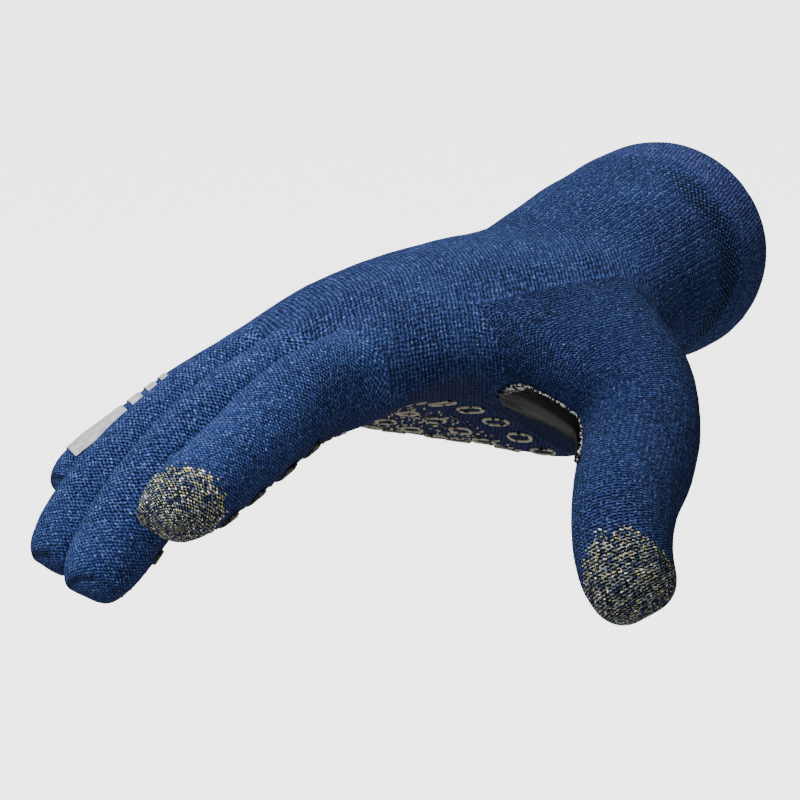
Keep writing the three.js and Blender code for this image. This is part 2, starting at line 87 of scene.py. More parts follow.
def tube_number(u: float) -> int:
    """The number of the tube that a column of the place map belongs to."""
    return int((u + STRIDE_MARGIN) // TUBE_STRIDE)


class Tube(Enum):
    """The knitted tubes: number, points around, wales in each span, height of a course in millimetres."""

    CUFF = (0, 20, 4.5, 0.9)
    HAND = (1, 20, 3.4, 1.24)
    INDEX = (2, 8, 5.0, 0.87)
    MIDDLE = (3, 8, 4.5, 0.95)
    RING = (4, 8, 4.5, 0.95)
    LITTLE = (5, 8, 4.0, 0.95)
    THUMB = (6, 14, 0.0, 0.68)

    @property
    def number(self) -> int:
        """Place of the tube on the place map."""
        return self.value[0]

    @property
    def around(self) -> int:
        """How many points its rings have."""
        return self.value[1]

    @property
    def wales(self) -> float:
        """Columns of stitches in each span, or 0 where the tube widens by adding some."""
        return self.value[2]

    @property
    def course(self) -> float:
        """Height of one row of stitches."""
        return self.value[3] * MM

    @property
    def label(self) -> str:
        """The tube's name in the names of its pieces."""
        return self.name.lower()

    def on_map(self, column: float) -> float:
        """Where one of the tube's columns lies on the place map."""
        return TUBE_STRIDE * self.number + column


class Stitch(Enum):
    """How the loops of a knit lie."""

    PLAIN = "plain"
    RIB = "rib"


# Shape of the glove


@dataclass(frozen=True)
class CuffSection:
    """One section of the cuff, in millimetres."""

    out: float  # along the cuff's middle line, from the wrist
    half_width: float
    half_height: float


@dataclass(frozen=True)
class HandSection:
    """One section of the hand, with values at the thumb side, in the middle and at the little finger side."""

    x: tuple[float, float, float]
    back: tuple[float, float, float]
    palm: tuple[float, float, float]
    sides_y: tuple[float, float]
    sides_z: tuple[float, float]
    lobe: float  # how far every other point sinks, where the hand parts into fingers


@dataclass(frozen=True)
class FingerSection:
    """One section of a finger, as a place on its bones and shares of its girth."""

    bone: int
    along: float
    width: float
    height: float


@dataclass(frozen=True)
class ThumbSection:
    """One section of the thumb, in millimetres."""

    at: tuple[float, float, float]
    across: float
    deep: float
    ahead: float  # how far its web side leans along the thumb
    web: tuple[float, float, float] = (-0.81, 0.46, 0.36)  # which way its web side faces


@dataclass(frozen=True)
class Finger:
    """A finger's joints from the knuckle to the middle of its round tip, and its girth, in millimetres."""

    tube: Tube
    girth: float
    joints: tuple[tuple[float, float, float], ...]


CUFF_SECTIONS = (
    CuffSection(61.6, 34.0, 30.2),
    CuffSection(49.5, 34.4, 30.3),
    CuffSection(33.0, 34.4, 28.4),
    CuffSection(16.0, 34.0, 24.5),
)
HAND_SECTIONS = (
    HandSection((8, 1, -3), (3, 9.5, 4), (-31, -34, -30), (-26.5, 44), (-13, -11), 0),
    HandSection((-3, -9, -12), (5.5, 12, 5), (-42, -42, -36), (-35, 43), (-17, -13), 0),
    HandSection((-23, -25, -26), (8, 14.5, 6), (-46, -45, -41), (-33, 43), (-14, -15), 0),
    HandSection((-40, -42, -40), (10.5, 16.5, 6), (-23, -36, -43), (-35, 43), (-8, -15), 0.3),
    HandSection((-57, -60, -54), (13.5, 18, 6), (-9, -24, -39), (-36, 43), (-1, -14), 0.8),
    HandSection((-78, -82, -70), (16.5, 19, 5), (-8, -15, -28), (-37, 41), (4, -10), 1.6),
)
FINGERS = (
    Finger(
        Tube.INDEX, 12.6,
        ((-78.2, -24.2, 4), (-117.9, -28.4, 5.6), (-140.6, -30.8, -2.4), (-159, -32.7, -7.3)),
    ),
    Finger(
        Tube.MIDDLE, 12.7,
        ((-80.9, -6, 5.8), (-123.9, -6.3, -2.4), (-148.9, -6.4, -13.8), (-164.7, -6.5, -27.6)),
    ),
    Finger(
        Tube.RING, 12.1,
        ((-76.3, 11.6, 3.2), (-115.3, 17.4, -7.7), (-138.8, 20.9, -18.5), (-154.6, 23.2, -32.1)),
    ),
    Finger(
        Tube.LITTLE, 10.8,
        ((-69.8, 27.9, -4.5), (-99, 37.2, -13.9), (-115.9, 42.6, -21.1), (-131.7, 47.6, -28.4)),
    ),
)
FINGER_SECTIONS = (
    FingerSection(0, 0.5, 0.8, 0.99),
    FingerSection(0, 0.68, 0.72, 0.97),
    FingerSection(0, 0.96, 0.79, 0.95),
    FingerSection(1, 0.35, 0.86, 0.89),
    FingerSection(1, 0.9, 0.83, 0.83),
    FingerSection(2, 0.42, 0.82, 0.8),
    FingerSection(2, 0.95, 0.8, 0.76),
    FingerSection(2, 1.42, 0.56, 0.5),
)
THUMB_SECTIONS = (
    ThumbSection((-19.5, -43, -19), 24.5, 16.5, 0, (-0.97, -0.02, 0.24)),
    ThumbSection((-29.2, -55, -27.6), 16.8, 15.5, 0, (-0.88, 0.36, 0.31)),
    ThumbSection((-42.4, -63.4, -32.8), 14.6, 14, 0),
    ThumbSection((-51.4, -69.5, -36.1), 13.7, 13.2, 1),
    ThumbSection((-58.5, -76.6, -43.6), 13.2, 12.7, 3),
    ThumbSection((-60, -81.5, -49.8), 12, 12, 1.4),
    ThumbSection((-58.8, -86, -56), 8.8, 8.4, -0.5),
)

PIECES = (
    "cuff_hem", "cuff", "hand_body", "index_stall", "middle_stall", "ring_stall", "little_stall",
    "thumb_stall", "index_touch_tip", "thumb_touch_tip",
)


# Meshes


def edges_along(bm: bmesh.types.BMesh, verts: Sequence[BMVert]) -> list[BMEdge]:
    """The edges that join neighbouring vertices in order."""
    return [bm.edges.get(pair) for pair in zip(verts, verts[1:])]


def middle_of(verts: Sequence[BMVert]) -> Vector:
    """The middle of some vertices."""
    return sum((v.co for v in verts), Vector()) / len(verts)


def grow_ring(bm: bmesh.types.BMesh, ring: Sequence[BMVert]) -> tuple[list[BMVert], list[BMFace]]:
    """Extrudes a closed ring of vertices.

    Args:
        bm: The mesh.
        ring: The ring's vertices in order.

    Returns:
        The new ring in the same order, and the band of faces between the two.
    """
    made = bmesh.ops.extrude_edge_only(bm, edges=edges_along(bm, [*ring, ring[0]]))["geom"]
    fresh = {v for v in made if isinstance(v, BMVert)}
    far = [next(e.other_vert(v) for e in v.link_edges if e.other_vert(v) in fresh) for v in ring]
    return far, [f for f in made if isinstance(f, BMFace)]


def second_side(bm: bmesh.types.BMesh) -> list[BMVert]:
    """Gives a sheet its second side, still in the same place, to be moved off by a wall's thickness.

    Args:
        bm: The sheet.

    Returns:
        The second side's vertices.
    """
    made = bmesh.ops.extrude_face_region(bm, geom=bm.faces[:], use_keep_orig=True)["geom"]
    return [v for v in made if isinstance(v, BMVert)]


def round_over(
    bm: bmesh.types.BMesh, edges: Sequence[BMEdge], offset: float, segments: int
) -> list[BMVert]:
    """Rounds sharp edges.

    Args:
        bm: The mesh.
        edges: The edges.
        offset: How far from each edge the rounding starts.
        segments: How many faces it has across.

    Returns:
        The vertices of the rounding.
    """
    made = bmesh.ops.bevel(
        bm, geom=edges, offset=offset, offset_type="OFFSET", segments=segments, profile=0.5,
        affect="EDGES", material=-1, clamp_overlap=True,
    )
    return made["verts"]


def mesh_of(bm: bmesh.types.BMesh, name: str, smooth: bool = True) -> bpy.types.Mesh:
    """Turns a finished bmesh into a mesh.

    Args:
        bm: The bmesh, which is freed.
        name: The mesh's name.
        smooth: Whether its faces are shaded smooth.

    Returns:
        The mesh.
    """
    for face in bm.faces:
        face.smooth = smooth
    mesh = bpy.data.meshes.new(name)
    bm.to_mesh(mesh)
    bm.free()
    return mesh


def stand(name: str, data: bpy.types.ID) -> bpy.types.Object:
    """Puts an object in the scene.

    Args:
        name: Its name.
        data: Its mesh, light or camera.

    Returns:
        The object.
    """
    made = bpy.data.objects.new(name, data)
    bpy.context.scene.collection.objects.link(made)
    return made


# Form


@dataclass
class Cage:
    """The coarse mesh that the glove is smoothed from: rings, each extruded from the one before."""

    back_points: int = 9  # how many points of the hand's rings lie on its back
    stitch_width: float = 1.4 * MM  # width of a column of stitches where the knit is fashioned
    front_column: float = 13.5  # the column of a fashioned tube that its columns of stitches spread from
    narrowing: float = 0.7  # width past a fashioned tube's last ring, as a share of that ring
    tip_courses: int = 14  # how many courses run over a closed tip

    def __post_init__(self) -> None:
        """Starts an empty mesh with its two maps."""
        self.bm = bmesh.new()
        self.place = self.bm.loops.layers.uv.new("place")
        self.knit = self.bm.loops.layers.uv.new("knit")
        self.faces: dict[tuple[Tube, int, int], BMFace] = {}
        self.courses: dict[tuple[Tube, int], float] = {}
        self.spans: dict[tuple[Tube, int], float] = {}

    def first_ring(self, points: Sequence[Vector]) -> list[BMVert]:
        """Lays down the ring that everything is extruded from.

        Args:
            points: Where its points go.

        Returns:
            The ring's vertices in order.
        """
        ring = bmesh.ops.create_circle(self.bm, segments=len(points), radius=1)["verts"]
        for vert, point in zip(ring, points):
            vert.co = point
        return ring

    def extrude(
        self,
        ring: Sequence[BMVert],
        points: Sequence[Vector],
        tube: Tube,
        row: int,
        piece: Callable[[int], str],
    ) -> list[BMVert]:
        """Extrudes a ring to new points and marks the band of faces.

        Args:
            ring: The ring that is there.
            points: Where the new ring goes.
            tube: The tube that the band belongs to.
            row: The band's number on the tube.
            piece: Gives the piece's name for a row.

        Returns:
            The new ring.
        """
        far, band = grow_ring(self.bm, ring)
        for vert, point in zip(far, points):
            vert.co = point
        start = self.courses.setdefault((tube, row), 0.0)
        self.courses[(tube, row + 1)] = start + (middle_of(far) - middle_of(ring)).length / tube.course
        for step, verts in enumerate((ring, far)):
            round_it = sum((a.co - b.co).length for a, b in zip(verts, [*verts[1:], verts[0]]))
            self.spans[(tube, row + step)] = round_it / len(verts)
        where = {v: (i, row) for i, v in enumerate(ring)} | {v: (i, row + 1) for i, v in enumerate(far)}
        for face in band:
            self.mark(face, where, tube, piece(row))
        return far

    def mark(
        self, face: BMFace, where: dict[BMVert, tuple[float, float]], tube: Tube, piece: str
    ) -> None:
        """Writes a face's maps and piece.

        Args:
            face: The face.
            where: Column and row of each of its vertices.
            tube: Its tube.
            piece: Its piece.
        """
        columns = [where[v][0] for v in face.verts]
        wraps = max(columns) - min(columns) > tube.around / 2
        first = min(c for c in columns if not (wraps and c < tube.around / 2))
        face.material_index = PIECES.index(piece)
        for loop in face.loops:
            column, row = where[loop.vert]
            if wraps and column < tube.around / 2:
                column += tube.around
            loop[self.place].uv = (tube.on_map(column), row)
            wale = self.wale(tube, column, int(row), first)
            loop[self.knit].uv = (wale, self.courses[(tube, int(row))])
        self.faces[(tube, int(min(where[v][1] for v in face.verts)), int(first))] = face

    def wale(self, tube: Tube, column: float, row: int, first: float) -> float:
        """Which column of stitches a place lies in.

        Args:
            tube: The tube.
            column: The place's column on the cage.
            row: Its row.
            first: Lowest column of the face that it is read for, before wrapping.

        Returns:
            The number of stitches from the start of the row.
        """
        if tube.wales:
            return column * tube.wales
        half = tube.around / 2
        away = (first + 0.5 - self.front_column + half) % tube.around - half + (column - first - 0.5)
        width = self.spans.get((tube, row), self.spans[(tube, row - 1)] * self.narrowing if row else 0.0)
        return away * width / self.stitch_width

    def close_tip(self, ring: Sequence[BMVert], back_points: int, tube: Tube, row: int, piece: str) -> None:
        """Closes a tip with one band that runs over it from the back to the palm side.

        Args:
            ring: The last ring.
            back_points: How many of its points lie on the back, and again on the palm side.
            tube: The tube.
            row: The last ring's row.
            piece: The piece that the tip belongs to.
        """
        count = len(ring)
        spare = (count - 2 * back_points) // 2
        back = list(ring[:back_points])
        palm = list(ring[back_points + spare : count - spare])
        edges = edges_along(self.bm, back) + edges_along(self.bm, palm)
        over = bmesh.ops.bridge_loops(self.bm, edges=edges)["faces"]
        sides = [ring[back_points - 1 : back_points + spare + 1], [*ring[count - spare - 1 :], ring[0]]]
        for side in sides:
            over += bmesh.ops.contextual_create(self.bm, geom=side)["faces"]
        where = {v: (float(i), float(row)) for i, v in enumerate(ring[: back_points + (spare + 1) // 2])}
        where |= {v: (float(i), row + 1.0) for i, v in enumerate(reversed(palm))}
        if spare == 1:
            where[ring[-1]] = (-1.0, float(row))
        else:
            where |= {ring[back_points + 1]: (float(back_points), row + 1.0), ring[-1]: (-1.0, float(row))}
            where[ring[-2]] = (-1.0, row + 1.0)
        self.courses[(tube, row + 1)] = self.courses[(tube, row)] + self.tip_courses
        for face in over:
            self.mark(face, where, tube, piece)


@dataclass
class GloveForm:
    """The whole knitted form: built as a cage, smoothed, and read by every piece of the glove."""

    cuff_yaw: float = math.radians(14.7)
    cuff_drop: float = math.radians(8.8)
    side_drop: float = 5.0  # how far the back and the palm round off towards the sides, in millimetres
    side_sharpness: int = 6  # how suddenly they do
    side_inset: float = 3.0  # how far their outermost points stay inside the sides, in millimetres
    first_angle: float = 135.0  # of a finger ring's first point, in degrees
    stiff_share: float = 0.2  # the middle of each bone that doesn't bend
    index_touch_row: int = 6  # where the index finger's tip piece begins
    thumb_touch_row: int = 5
    thumb_rows: tuple[int, int] = (1, 4)  # the hand's rings that the thumb's hole lies between
    thumb_columns: tuple[int, ...] = (1, 0, -1, -2, -3)  # the points of those rings along the hole
    pull_start: float = -0.02  # the thumb pulls on the courses beyond this y, in metres
    pull_blend: float = 0.02  # how softly the pull sets in, in metres
    pull_slant: float = 0.82  # how far it draws them forward for each metre beyond
    swells: tuple[tuple[float, float], ...] = ((90, 0.22 * MM), (260, 0.1 * MM))  # fineness, height
    hem_rows: tuple[float, float] = (0.75, 1.1)  # rows between which the hem's lift ends
    hem_lift: float = 0.2 * MM
    band_start: tuple[float, float] = (0.95, 1.3)  # rows between which the band draws in
    band_end: tuple[float, float] = (1.5, 2.1)
    band_depth: float = 0.25 * MM
    rim_flare: float = 2.2 * MM  # how far the rim runs out at its furthest
    rim_flare_column: float = 2.5
    rim_flare_end: float = 1.6  # the row where the flare has faded out

    def __post_init__(self) -> None:
        """Builds the smooth form."""
        self.cage = Cage()
        self.sides = FINGERS[0].tube.around
        self.shrink = 2 / 3 + math.cos(math.tau / self.sides) / 3  # how smoothing narrows a ring
        self.build_cage()
        self.mesh = self.smooth()
        self.places = self.place_of_vertices()
        self.level_courses()
        self.shape_knit()
        self.normals = [v.normal.copy() for v in self.mesh.vertices]
        self.tree, self.corners = self.place_tree()

    def cuff_ring(self, section: CuffSection) -> list[Vector]:
        """Points of a cuff section.

        Args:
            section: The section.

        Returns:
            Twenty points from the thumb side over the back.
        """
        yaw = Matrix.Rotation(self.cuff_yaw, 3, "Z")
        drop = Matrix.Rotation(self.cuff_drop, 3, "Y")
        out = yaw @ drop @ Vector((1, 0, 0))
        side = Vector((0, 0, 1)).cross(out).normalized()
        up = out.cross(side)
        middle = WRIST.lerp(MOUTH, section.out / CUFF_SECTIONS[0].out)
        count = Tube.CUFF.around
        angles = [math.pi - math.tau * (i + 1) / count for i in range(count)]
        wide, high = side * section.half_width, up * section.half_height
        return [row_frame(middle + wide * math.cos(a) + high * math.sin(a)) for a in angles]

    def hand_ring(self, section: HandSection) -> list[Vector]:
        """Points of a hand section.

        Args:
            section: The section.

        Returns:
            Nine points over the back, one at the side, nine along the palm and one at the thumb side.
        """
        last = self.cage.back_points - 1

        def across(values: tuple[float, float, float], s: float) -> float:
            """Reads a value given at the thumb side, in the middle and at the far side."""
            a, b, c = 2 * (s - 0.5) * (s - 1), 4 * s * (1 - s), 2 * s * (s - 0.5)
            return a * values[0] + b * values[1] + c * values[2]

        def point(j: int, heights: tuple[float, float, float], sign: int) -> Vector:
            """One point of the back or of the palm."""
            s = j / last
            drop = self.side_drop * abs(2 * s - 1) ** self.side_sharpness
            drop += section.lobe if j % 2 == 0 else 0
            y = blend_number(section.sides_y[0] + self.side_inset, section.sides_y[1] - self.side_inset, s)
            return row_frame((across(section.x, s), y, across(heights, s) - sign * drop))

        back = [point(j, section.back, 1) for j in range(last + 1)]
        palm = [point(j, section.palm, -1) for j in range(last, -1, -1)]
        far_side = row_frame((section.x[2], section.sides_y[1], section.sides_z[1]))
        thumb_side = row_frame((section.x[0], section.sides_y[0], section.sides_z[0]))
        return [*back, far_side, *palm, thumb_side]

    def finger_ring(self, finger: Finger, section: FingerSection) -> list[Vector]:
        """Points of a finger section.

        Args:
            finger: The finger.
            section: The section.

        Returns:
            Eight points from the thumb side over the back.
        """
        joints = [Vector(j) for j in finger.joints]
        directions = [(b - a).normalized() for a, b in zip(joints, joints[1:])]
        bone, along = section.bone, section.along
        middle = joints[bone].lerp(joints[bone + 1], along)
        if along > 1:
            middle = joints[bone + 1] + (joints[bone + 1] - joints[bone]) * (along - 1)
        near = bone + 1 if along > 0.5 else bone - 1
        neighbour = directions[near] if 0 <= near < len(directions) else directions[bone]
        from_middle = max(0.0, 2 * abs(along - 0.5) - self.stiff_share) / (1 - self.stiff_share)
        direction = directions[bone].lerp(neighbour, min(from_middle, 1) / 2).normalized()
        side = direction.cross(Vector((0, 0, 1))).normalized()
        up = side.cross(direction)
        girth = finger.girth / self.shrink
        ring = []
        for i in range(self.sides):
            angle = math.radians(self.first_angle - 360 * i / self.sides)
            offset = side * section.width * math.cos(angle) + up * section.height * math.sin(angle)
            ring.append(row_frame(middle + offset * girth))
        return ring

    def thumb_ring(self, section: ThumbSection, direction: Vector, count: int) -> list[Vector]:
        """Points of a thumb section.

        Args:
            section: The section.
            direction: Which way the thumb runs there.
            count: How many points.

        Returns:
            The points, with the web side third.
        """
        web = Vector(section.web)
        web = (web - direction * web.dot(direction)).normalized()
        nail = web.cross(direction)
        ring = []
        for i in range(count):
            angle = math.tau * (2 - i) / count
            reach = (web * section.across + direction * section.ahead) * math.cos(angle)
            ring.append(row_frame(Vector(section.at) + reach + nail * section.deep * math.sin(angle)))
        return ring

    def build_cage(self) -> None:
        """Extrudes the cuff, the hand, the four fingers and the thumb."""
        cage = self.cage
        ring = cage.first_ring(self.cuff_ring(CUFF_SECTIONS[0]))
        targets = [self.cuff_ring(s) for s in CUFF_SECTIONS[1:]] + [self.hand_ring(HAND_SECTIONS[0])]
        for row, points in enumerate(targets):
            ring = cage.extrude(ring, points, Tube.CUFF, row, lambda r: "cuff_hem" if r < 1 else "cuff")
        cage.courses[(Tube.HAND, 0)] = cage.courses[(Tube.CUFF, len(targets))]
        hand_rings = [ring]
        for row, section in enumerate(HAND_SECTIONS[1:]):
            ring = cage.extrude(ring, self.hand_ring(section), Tube.HAND, row, lambda r: "hand_body")
            hand_rings.append(ring)
        self.add_fingers(ring, len(HAND_SECTIONS) - 1)
        self.add_thumb(hand_rings)
        bmesh.ops.recalc_face_normals(cage.bm, faces=cage.bm.faces)

    def add_fingers(self, ring: list[BMVert], row: int) -> None:
        """Extrudes the hand to the crotches, splits its ring between the fingers and extrudes them.

        Args:
            ring: The last ring of the hand.
            row: The number of the band that reaches the crotches.
        """
        cage = self.cage
        crotches = [self.finger_ring(f, FINGER_SECTIONS[0]) for f in FINGERS]
        turn = self.sides // 2 - 2
        side, palm_turn, palm_start = turn + 1, turn + 2, 2 * turn + 2
        for near, far in zip(crotches, crotches[1:]):
            for mine, theirs in ((0, turn), (palm_start, palm_turn), (palm_start + 1, side)):
                far[mine] = near[theirs] = (far[mine] + near[theirs]) / 2
        front = [p for k, c in enumerate(crotches) for p in c[(1 if k else 0) : turn + 1]]
        front.append(crotches[-1][side])
        for k in range(len(crotches) - 1, -1, -1):
            front.extend(crotches[k][palm_turn : palm_start + (0 if k else 1)])
        front.append(crotches[0][palm_start + 1])
        knuckles = cage.extrude(ring, front, Tube.HAND, row, lambda r: "hand_body")
        last = len(knuckles)
        rings: list[list[BMVert]] = []
        middles: list[BMVert] = []
        for k in range(len(FINGERS) - 1):
            back = knuckles[turn * (k + 1)]
            palm = knuckles[last - 2 - turn * (k + 1)]
            joined = bmesh.ops.contextual_create(cage.bm, geom=[back, palm])["edges"][0]
            middle = bmesh.utils.edge_split(joined, back, 0.5)[1]
            middle.co = crotches[k][side]
            middles.append(middle)
        for k in range(len(FINGERS)):
            backs = knuckles[turn * k : turn * (k + 1) + 1]
            palms = [knuckles[last - 2 - j] for j in range(turn * (k + 1), turn * k - 1, -1)]
            far_side = middles[k] if k < len(middles) else knuckles[cage.back_points]
            near_side = middles[k - 1] if k else knuckles[-1]
            rings.append([*backs, far_side, *palms, near_side])
        for finger, start in zip(FINGERS, rings):
            self.extrude_finger(finger, start)

    def extrude_finger(self, finger: Finger, ring: list[BMVert]) -> None:
        """Extrudes one finger and closes its tip.

        Args:
            finger: The finger.
            ring: The ring that it starts from.
        """
        cage = self.cage

        def piece(row: int) -> str:
            """The piece that a row of the finger belongs to."""
            touch = finger.tube is Tube.INDEX and row >= self.index_touch_row
            return "index_touch_tip" if touch else f"{finger.tube.label}_stall"

        cage.courses[(finger.tube, 0)] = cage.courses[(Tube.HAND, len(HAND_SECTIONS))]
        for row, section in enumerate(FINGER_SECTIONS[1:]):
            ring = cage.extrude(ring, self.finger_ring(finger, section), finger.tube, row, piece)
        last = len(FINGER_SECTIONS) - 1
        cage.close_tip(ring, self.sides // 2 - 1, finger.tube, last, piece(last))

    def add_thumb(self, hand_rings: list[list[BMVert]]) -> None:
        """Cuts the thumb's hole in the side of the hand, extrudes the thumb from it and closes its tip.

        Args:
            hand_rings: The rings of the hand.
        """
        cage = self.cage
        first, last = self.thumb_rows
        columns = [c % Tube.HAND.around for c in self.thumb_columns]
        hole = [cage.faces[(Tube.HAND, r, c)] for r in range(first, last) for c in columns[1:]]
        between = hand_rings[first + 1 : last]
        loop = [
            *(hand_rings[last][c] for c in columns),
            *(r[columns[-1]] for r in reversed(between)),
            *(hand_rings[first][c] for c in reversed(columns)),
            *(r[columns[0]] for r in between),
        ]
        bmesh.ops.delete(cage.bm, geom=hole, context="FACES")
        path = [middle_of(loop) / MM + MOUTH, *(Vector(s.at) for s in THUMB_SECTIONS)]
        cage.courses[(Tube.THUMB, 0)] = 0.0
        ring = loop

        def piece(row: int) -> str:
            """The piece that a row of the thumb belongs to."""
            return "thumb_touch_tip" if row >= self.thumb_touch_row else "thumb_stall"

        for row, section in enumerate(THUMB_SECTIONS):
            direction = (path[min(row + 2, len(path) - 1)] - path[row]).normalized()
            points = self.thumb_ring(section, direction, len(loop))
            ring = cage.extrude(ring, points, Tube.THUMB, row, piece)
        cage.close_tip(ring, len(columns), Tube.THUMB, len(THUMB_SECTIONS), "thumb_touch_tip")

    def smooth(self) -> bpy.types.Mesh:
        """Smooths the cage with a subdivision surface.

        Returns:
            The smooth mesh, its faces still marked by piece.
        """
        coarse = mesh_of(self.cage.bm, "form_cage")
        for name in PIECES:
            coarse.materials.append(bpy.data.materials.new(f"mark_{name}"))
        holder = stand("form_cage", coarse)
        rounder = holder.modifiers.new("rounder", "SUBSURF")
        rounder.levels = SMOOTHING
        rounder.render_levels = SMOOTHING
        graph = bpy.context.evaluated_depsgraph_get()
        mesh = bpy.data.meshes.new_from_object(holder.evaluated_get(graph))
        bpy.data.objects.remove(holder)
        return mesh

    def place_of_vertices(self) -> dict[int, tuple[int, float, float]]:
        """Tube number, column and row of each vertex of the smooth mesh."""
        layer = self.mesh.uv_layers["place"].data
        places = {}
        for loop in self.mesh.loops:
            u, v = layer[loop.index].uv
            tube = tube_number(u)
            places[loop.vertex_index] = (tube, u - tube * TUBE_STRIDE, v)
        return places

    def level_courses(self) -> None:
        """Lays the hand's courses square to its length, drawn forward where the thumb pulls on them."""
        knit = self.mesh.uv_layers["knit"].data
        place = self.mesh.uv_layers["place"].data
        for loop in self.mesh.loops:
            if tube_number(place[loop.index].uv.x) == Tube.HAND.number:
                point = self.mesh.vertices[loop.vertex_index].co
                inside = point.y - self.pull_start
                pulled = (math.hypot(inside, self.pull_blend) - inside) / 2
                knit[loop.index].uv.y = -(point.x + pulled * self.pull_slant) / Tube.HAND.course

    def shape_knit(self) -> None:
        """Gives the knit its hem, its drawn-in band, its flared rim and the slight swells of worn cloth."""
        normals = [v.normal.copy() for v in self.mesh.vertices]
        for index, (tube, column, row) in self.places.items():
            vert = self.mesh.vertices[index]
            lift = sum(high * noise.noise(vert.co * fineness) for fineness, high in self.swells)
            if tube == Tube.CUFF.number:
                hem = 1 - ease(*self.hem_rows, row)
                band = ease(*self.band_start, row) * (1 - ease(*self.band_end, row))
                lift += self.hem_lift * hem - self.band_depth * band
                near = max(math.cos((column - self.rim_flare_column) * math.tau / Tube.CUFF.around), 0)
                vert.co.x += self.rim_flare * near * (1 - ease(0, self.rim_flare_end, row))
            vert.co += normals[index] * lift
        self.mesh.update()

    def place_tree(self) -> tuple[BVHTree, list[list[int]]]:
        """A tree over the place map, to find the point of the form at a column and row.

        Returns:
            The tree, and the loops of each of its faces.
        """
        layer = self.mesh.uv_layers["place"].data
        flat = [Vector((*layer[loop.index].uv, 0)) for loop in self.mesh.loops]
        corners = [list(p.loop_indices) for p in self.mesh.polygons]
        return BVHTree.FromPolygons(flat, corners), corners

    def spans_at(self, tube: Tube, row: float, column: float) -> tuple[float, float]:
        """How long a row and a column are at a place of a tube.

        Args:
            tube: The tube.
            row: Its row.
            column: Its column.

        Returns:
            Metres for each row, and metres for each column.
        """
        step = 0.05
        tall = self.at(tube, row + step, column) - self.at(tube, row - step, column)
        wide = self.at(tube, row, column + step) - self.at(tube, row, column - step)
        return tall.length / (2 * step), wide.length / (2 * step)

    def at(self, tube: Tube, row: float, column: float, lift: float = 0.0) -> Vector:
        """The point of the outer surface at a row and column of a tube.

        Args:
            tube: The tube.
            row: Its row, with a fraction.
            column: Its column, with a fraction.
            lift: Height above the surface.

        Returns:
            The point.
        """
        layer = self.mesh.uv_layers["place"].data
        spot = Vector((tube.on_map(column % tube.around), row, 0))
        found, _, face, _ = self.tree.find_nearest(spot)
        corners = self.corners[face]
        weights = poly_3d_calc([Vector((*layer[c].uv, 0)) for c in corners], found)
        point, normal = Vector(), Vector()
        for corner, weight in zip(corners, weights):
            index = self.mesh.loops[corner].vertex_index
            point += self.mesh.vertices[index].co * weight
            normal += self.normals[index] * weight
        return point + normal.normalized() * lift


# Finishes


def linear(red: int, green: int, blue: int) -> tuple[float, float, float, float]:
    """A colour from its display values, 0 to 255.

    Args:
        red: Red.
        green: Green.
        blue: Blue.

    Returns:
        The colour as shaders take it.
    """

    def channel(value: int) -> float:
        """One channel without its display curve."""
        share = value / 255
        return share / 12.92 if share <= 0.04045 else ((share + 0.055) / 1.055) ** 2.4

    return (channel(red), channel(green), channel(blue), 1.0)


class Strand:
    """A number that varies over a surface: a shader socket that takes plain arithmetic."""

    def __init__(self, dye: "DyeBath", socket: bpy.types.NodeSocket) -> None:
        """Wraps a socket of a material."""
        self.dye = dye
        self.socket = socket

    def math(self, operation: str, *others: Union["Strand", float]) -> "Strand":
        """Adds one Math node.

        Args:
            operation: The node's operation.
            others: The other operands.

        Returns:
            Its result.
        """
        node = self.dye.node("ShaderNodeMath", {"operation": operation}, dict(enumerate([self, *others])))
        return Strand(self.dye, node.outputs[0])

    def __add__(self, other: Union["Strand", float]) -> "Strand":
        """Sum."""
        return self.math("ADD", other)

    __radd__ = __add__

    def __mul__(self, other: Union["Strand", float]) -> "Strand":
        """Product."""
        return self.math("MULTIPLY", other)

    __rmul__ = __mul__

    def __sub__(self, other: Union["Strand", float]) -> "Strand":
        """Difference."""
        return self.math("SUBTRACT", other)

    def __rsub__(self, other: float) -> "Strand":
        """A plain number less this one."""
        return (self * -1.0) + other

    def __pow__(self, other: float) -> "Strand":
        """Power."""
        return self.math("POWER", other)

    def __abs__(self) -> "Strand":
        """Size without its sign."""
        return self.math("ABSOLUTE")

    def floor(self) -> "Strand":
        """Whole part."""
        return self.math("FLOOR")

    def part(self) -> "Strand":
        """What is left after the whole part."""
        return self.math("FRACT")

    def sine(self) -> "Strand":
        """Sine."""
        return self.math("SINE")

    def cosine(self) -> "Strand":
        """Cosine."""
        return self.math("COSINE")

    def above(self, level: float) -> "Strand":
        """1 where it is above a level, otherwise 0."""
        return self.math("GREATER_THAN", level)

    def most(self, other: Union["Strand", float]) -> "Strand":
        """The larger of two."""
        return self.math("MAXIMUM", other)

    def least(self, other: Union["Strand", float]) -> "Strand":
        """The smaller of two."""
        return self.math("MINIMUM", other)

    def clamped(self) -> "Strand":
        """Kept between 0 and 1."""
        return self.most(0.0).least(1.0)

    def rise(self, low: float, high: float) -> "Strand":
        """Goes smoothly from 0 at low to 1 at high."""
        inputs = {0: self, 1: low, 2: high, 3: 0.0, 4: 1.0}
        node = self.dye.node("ShaderNodeMapRange", {"interpolation_type": "SMOOTHSTEP"}, inputs)
        return Strand(self.dye, node.outputs[0])


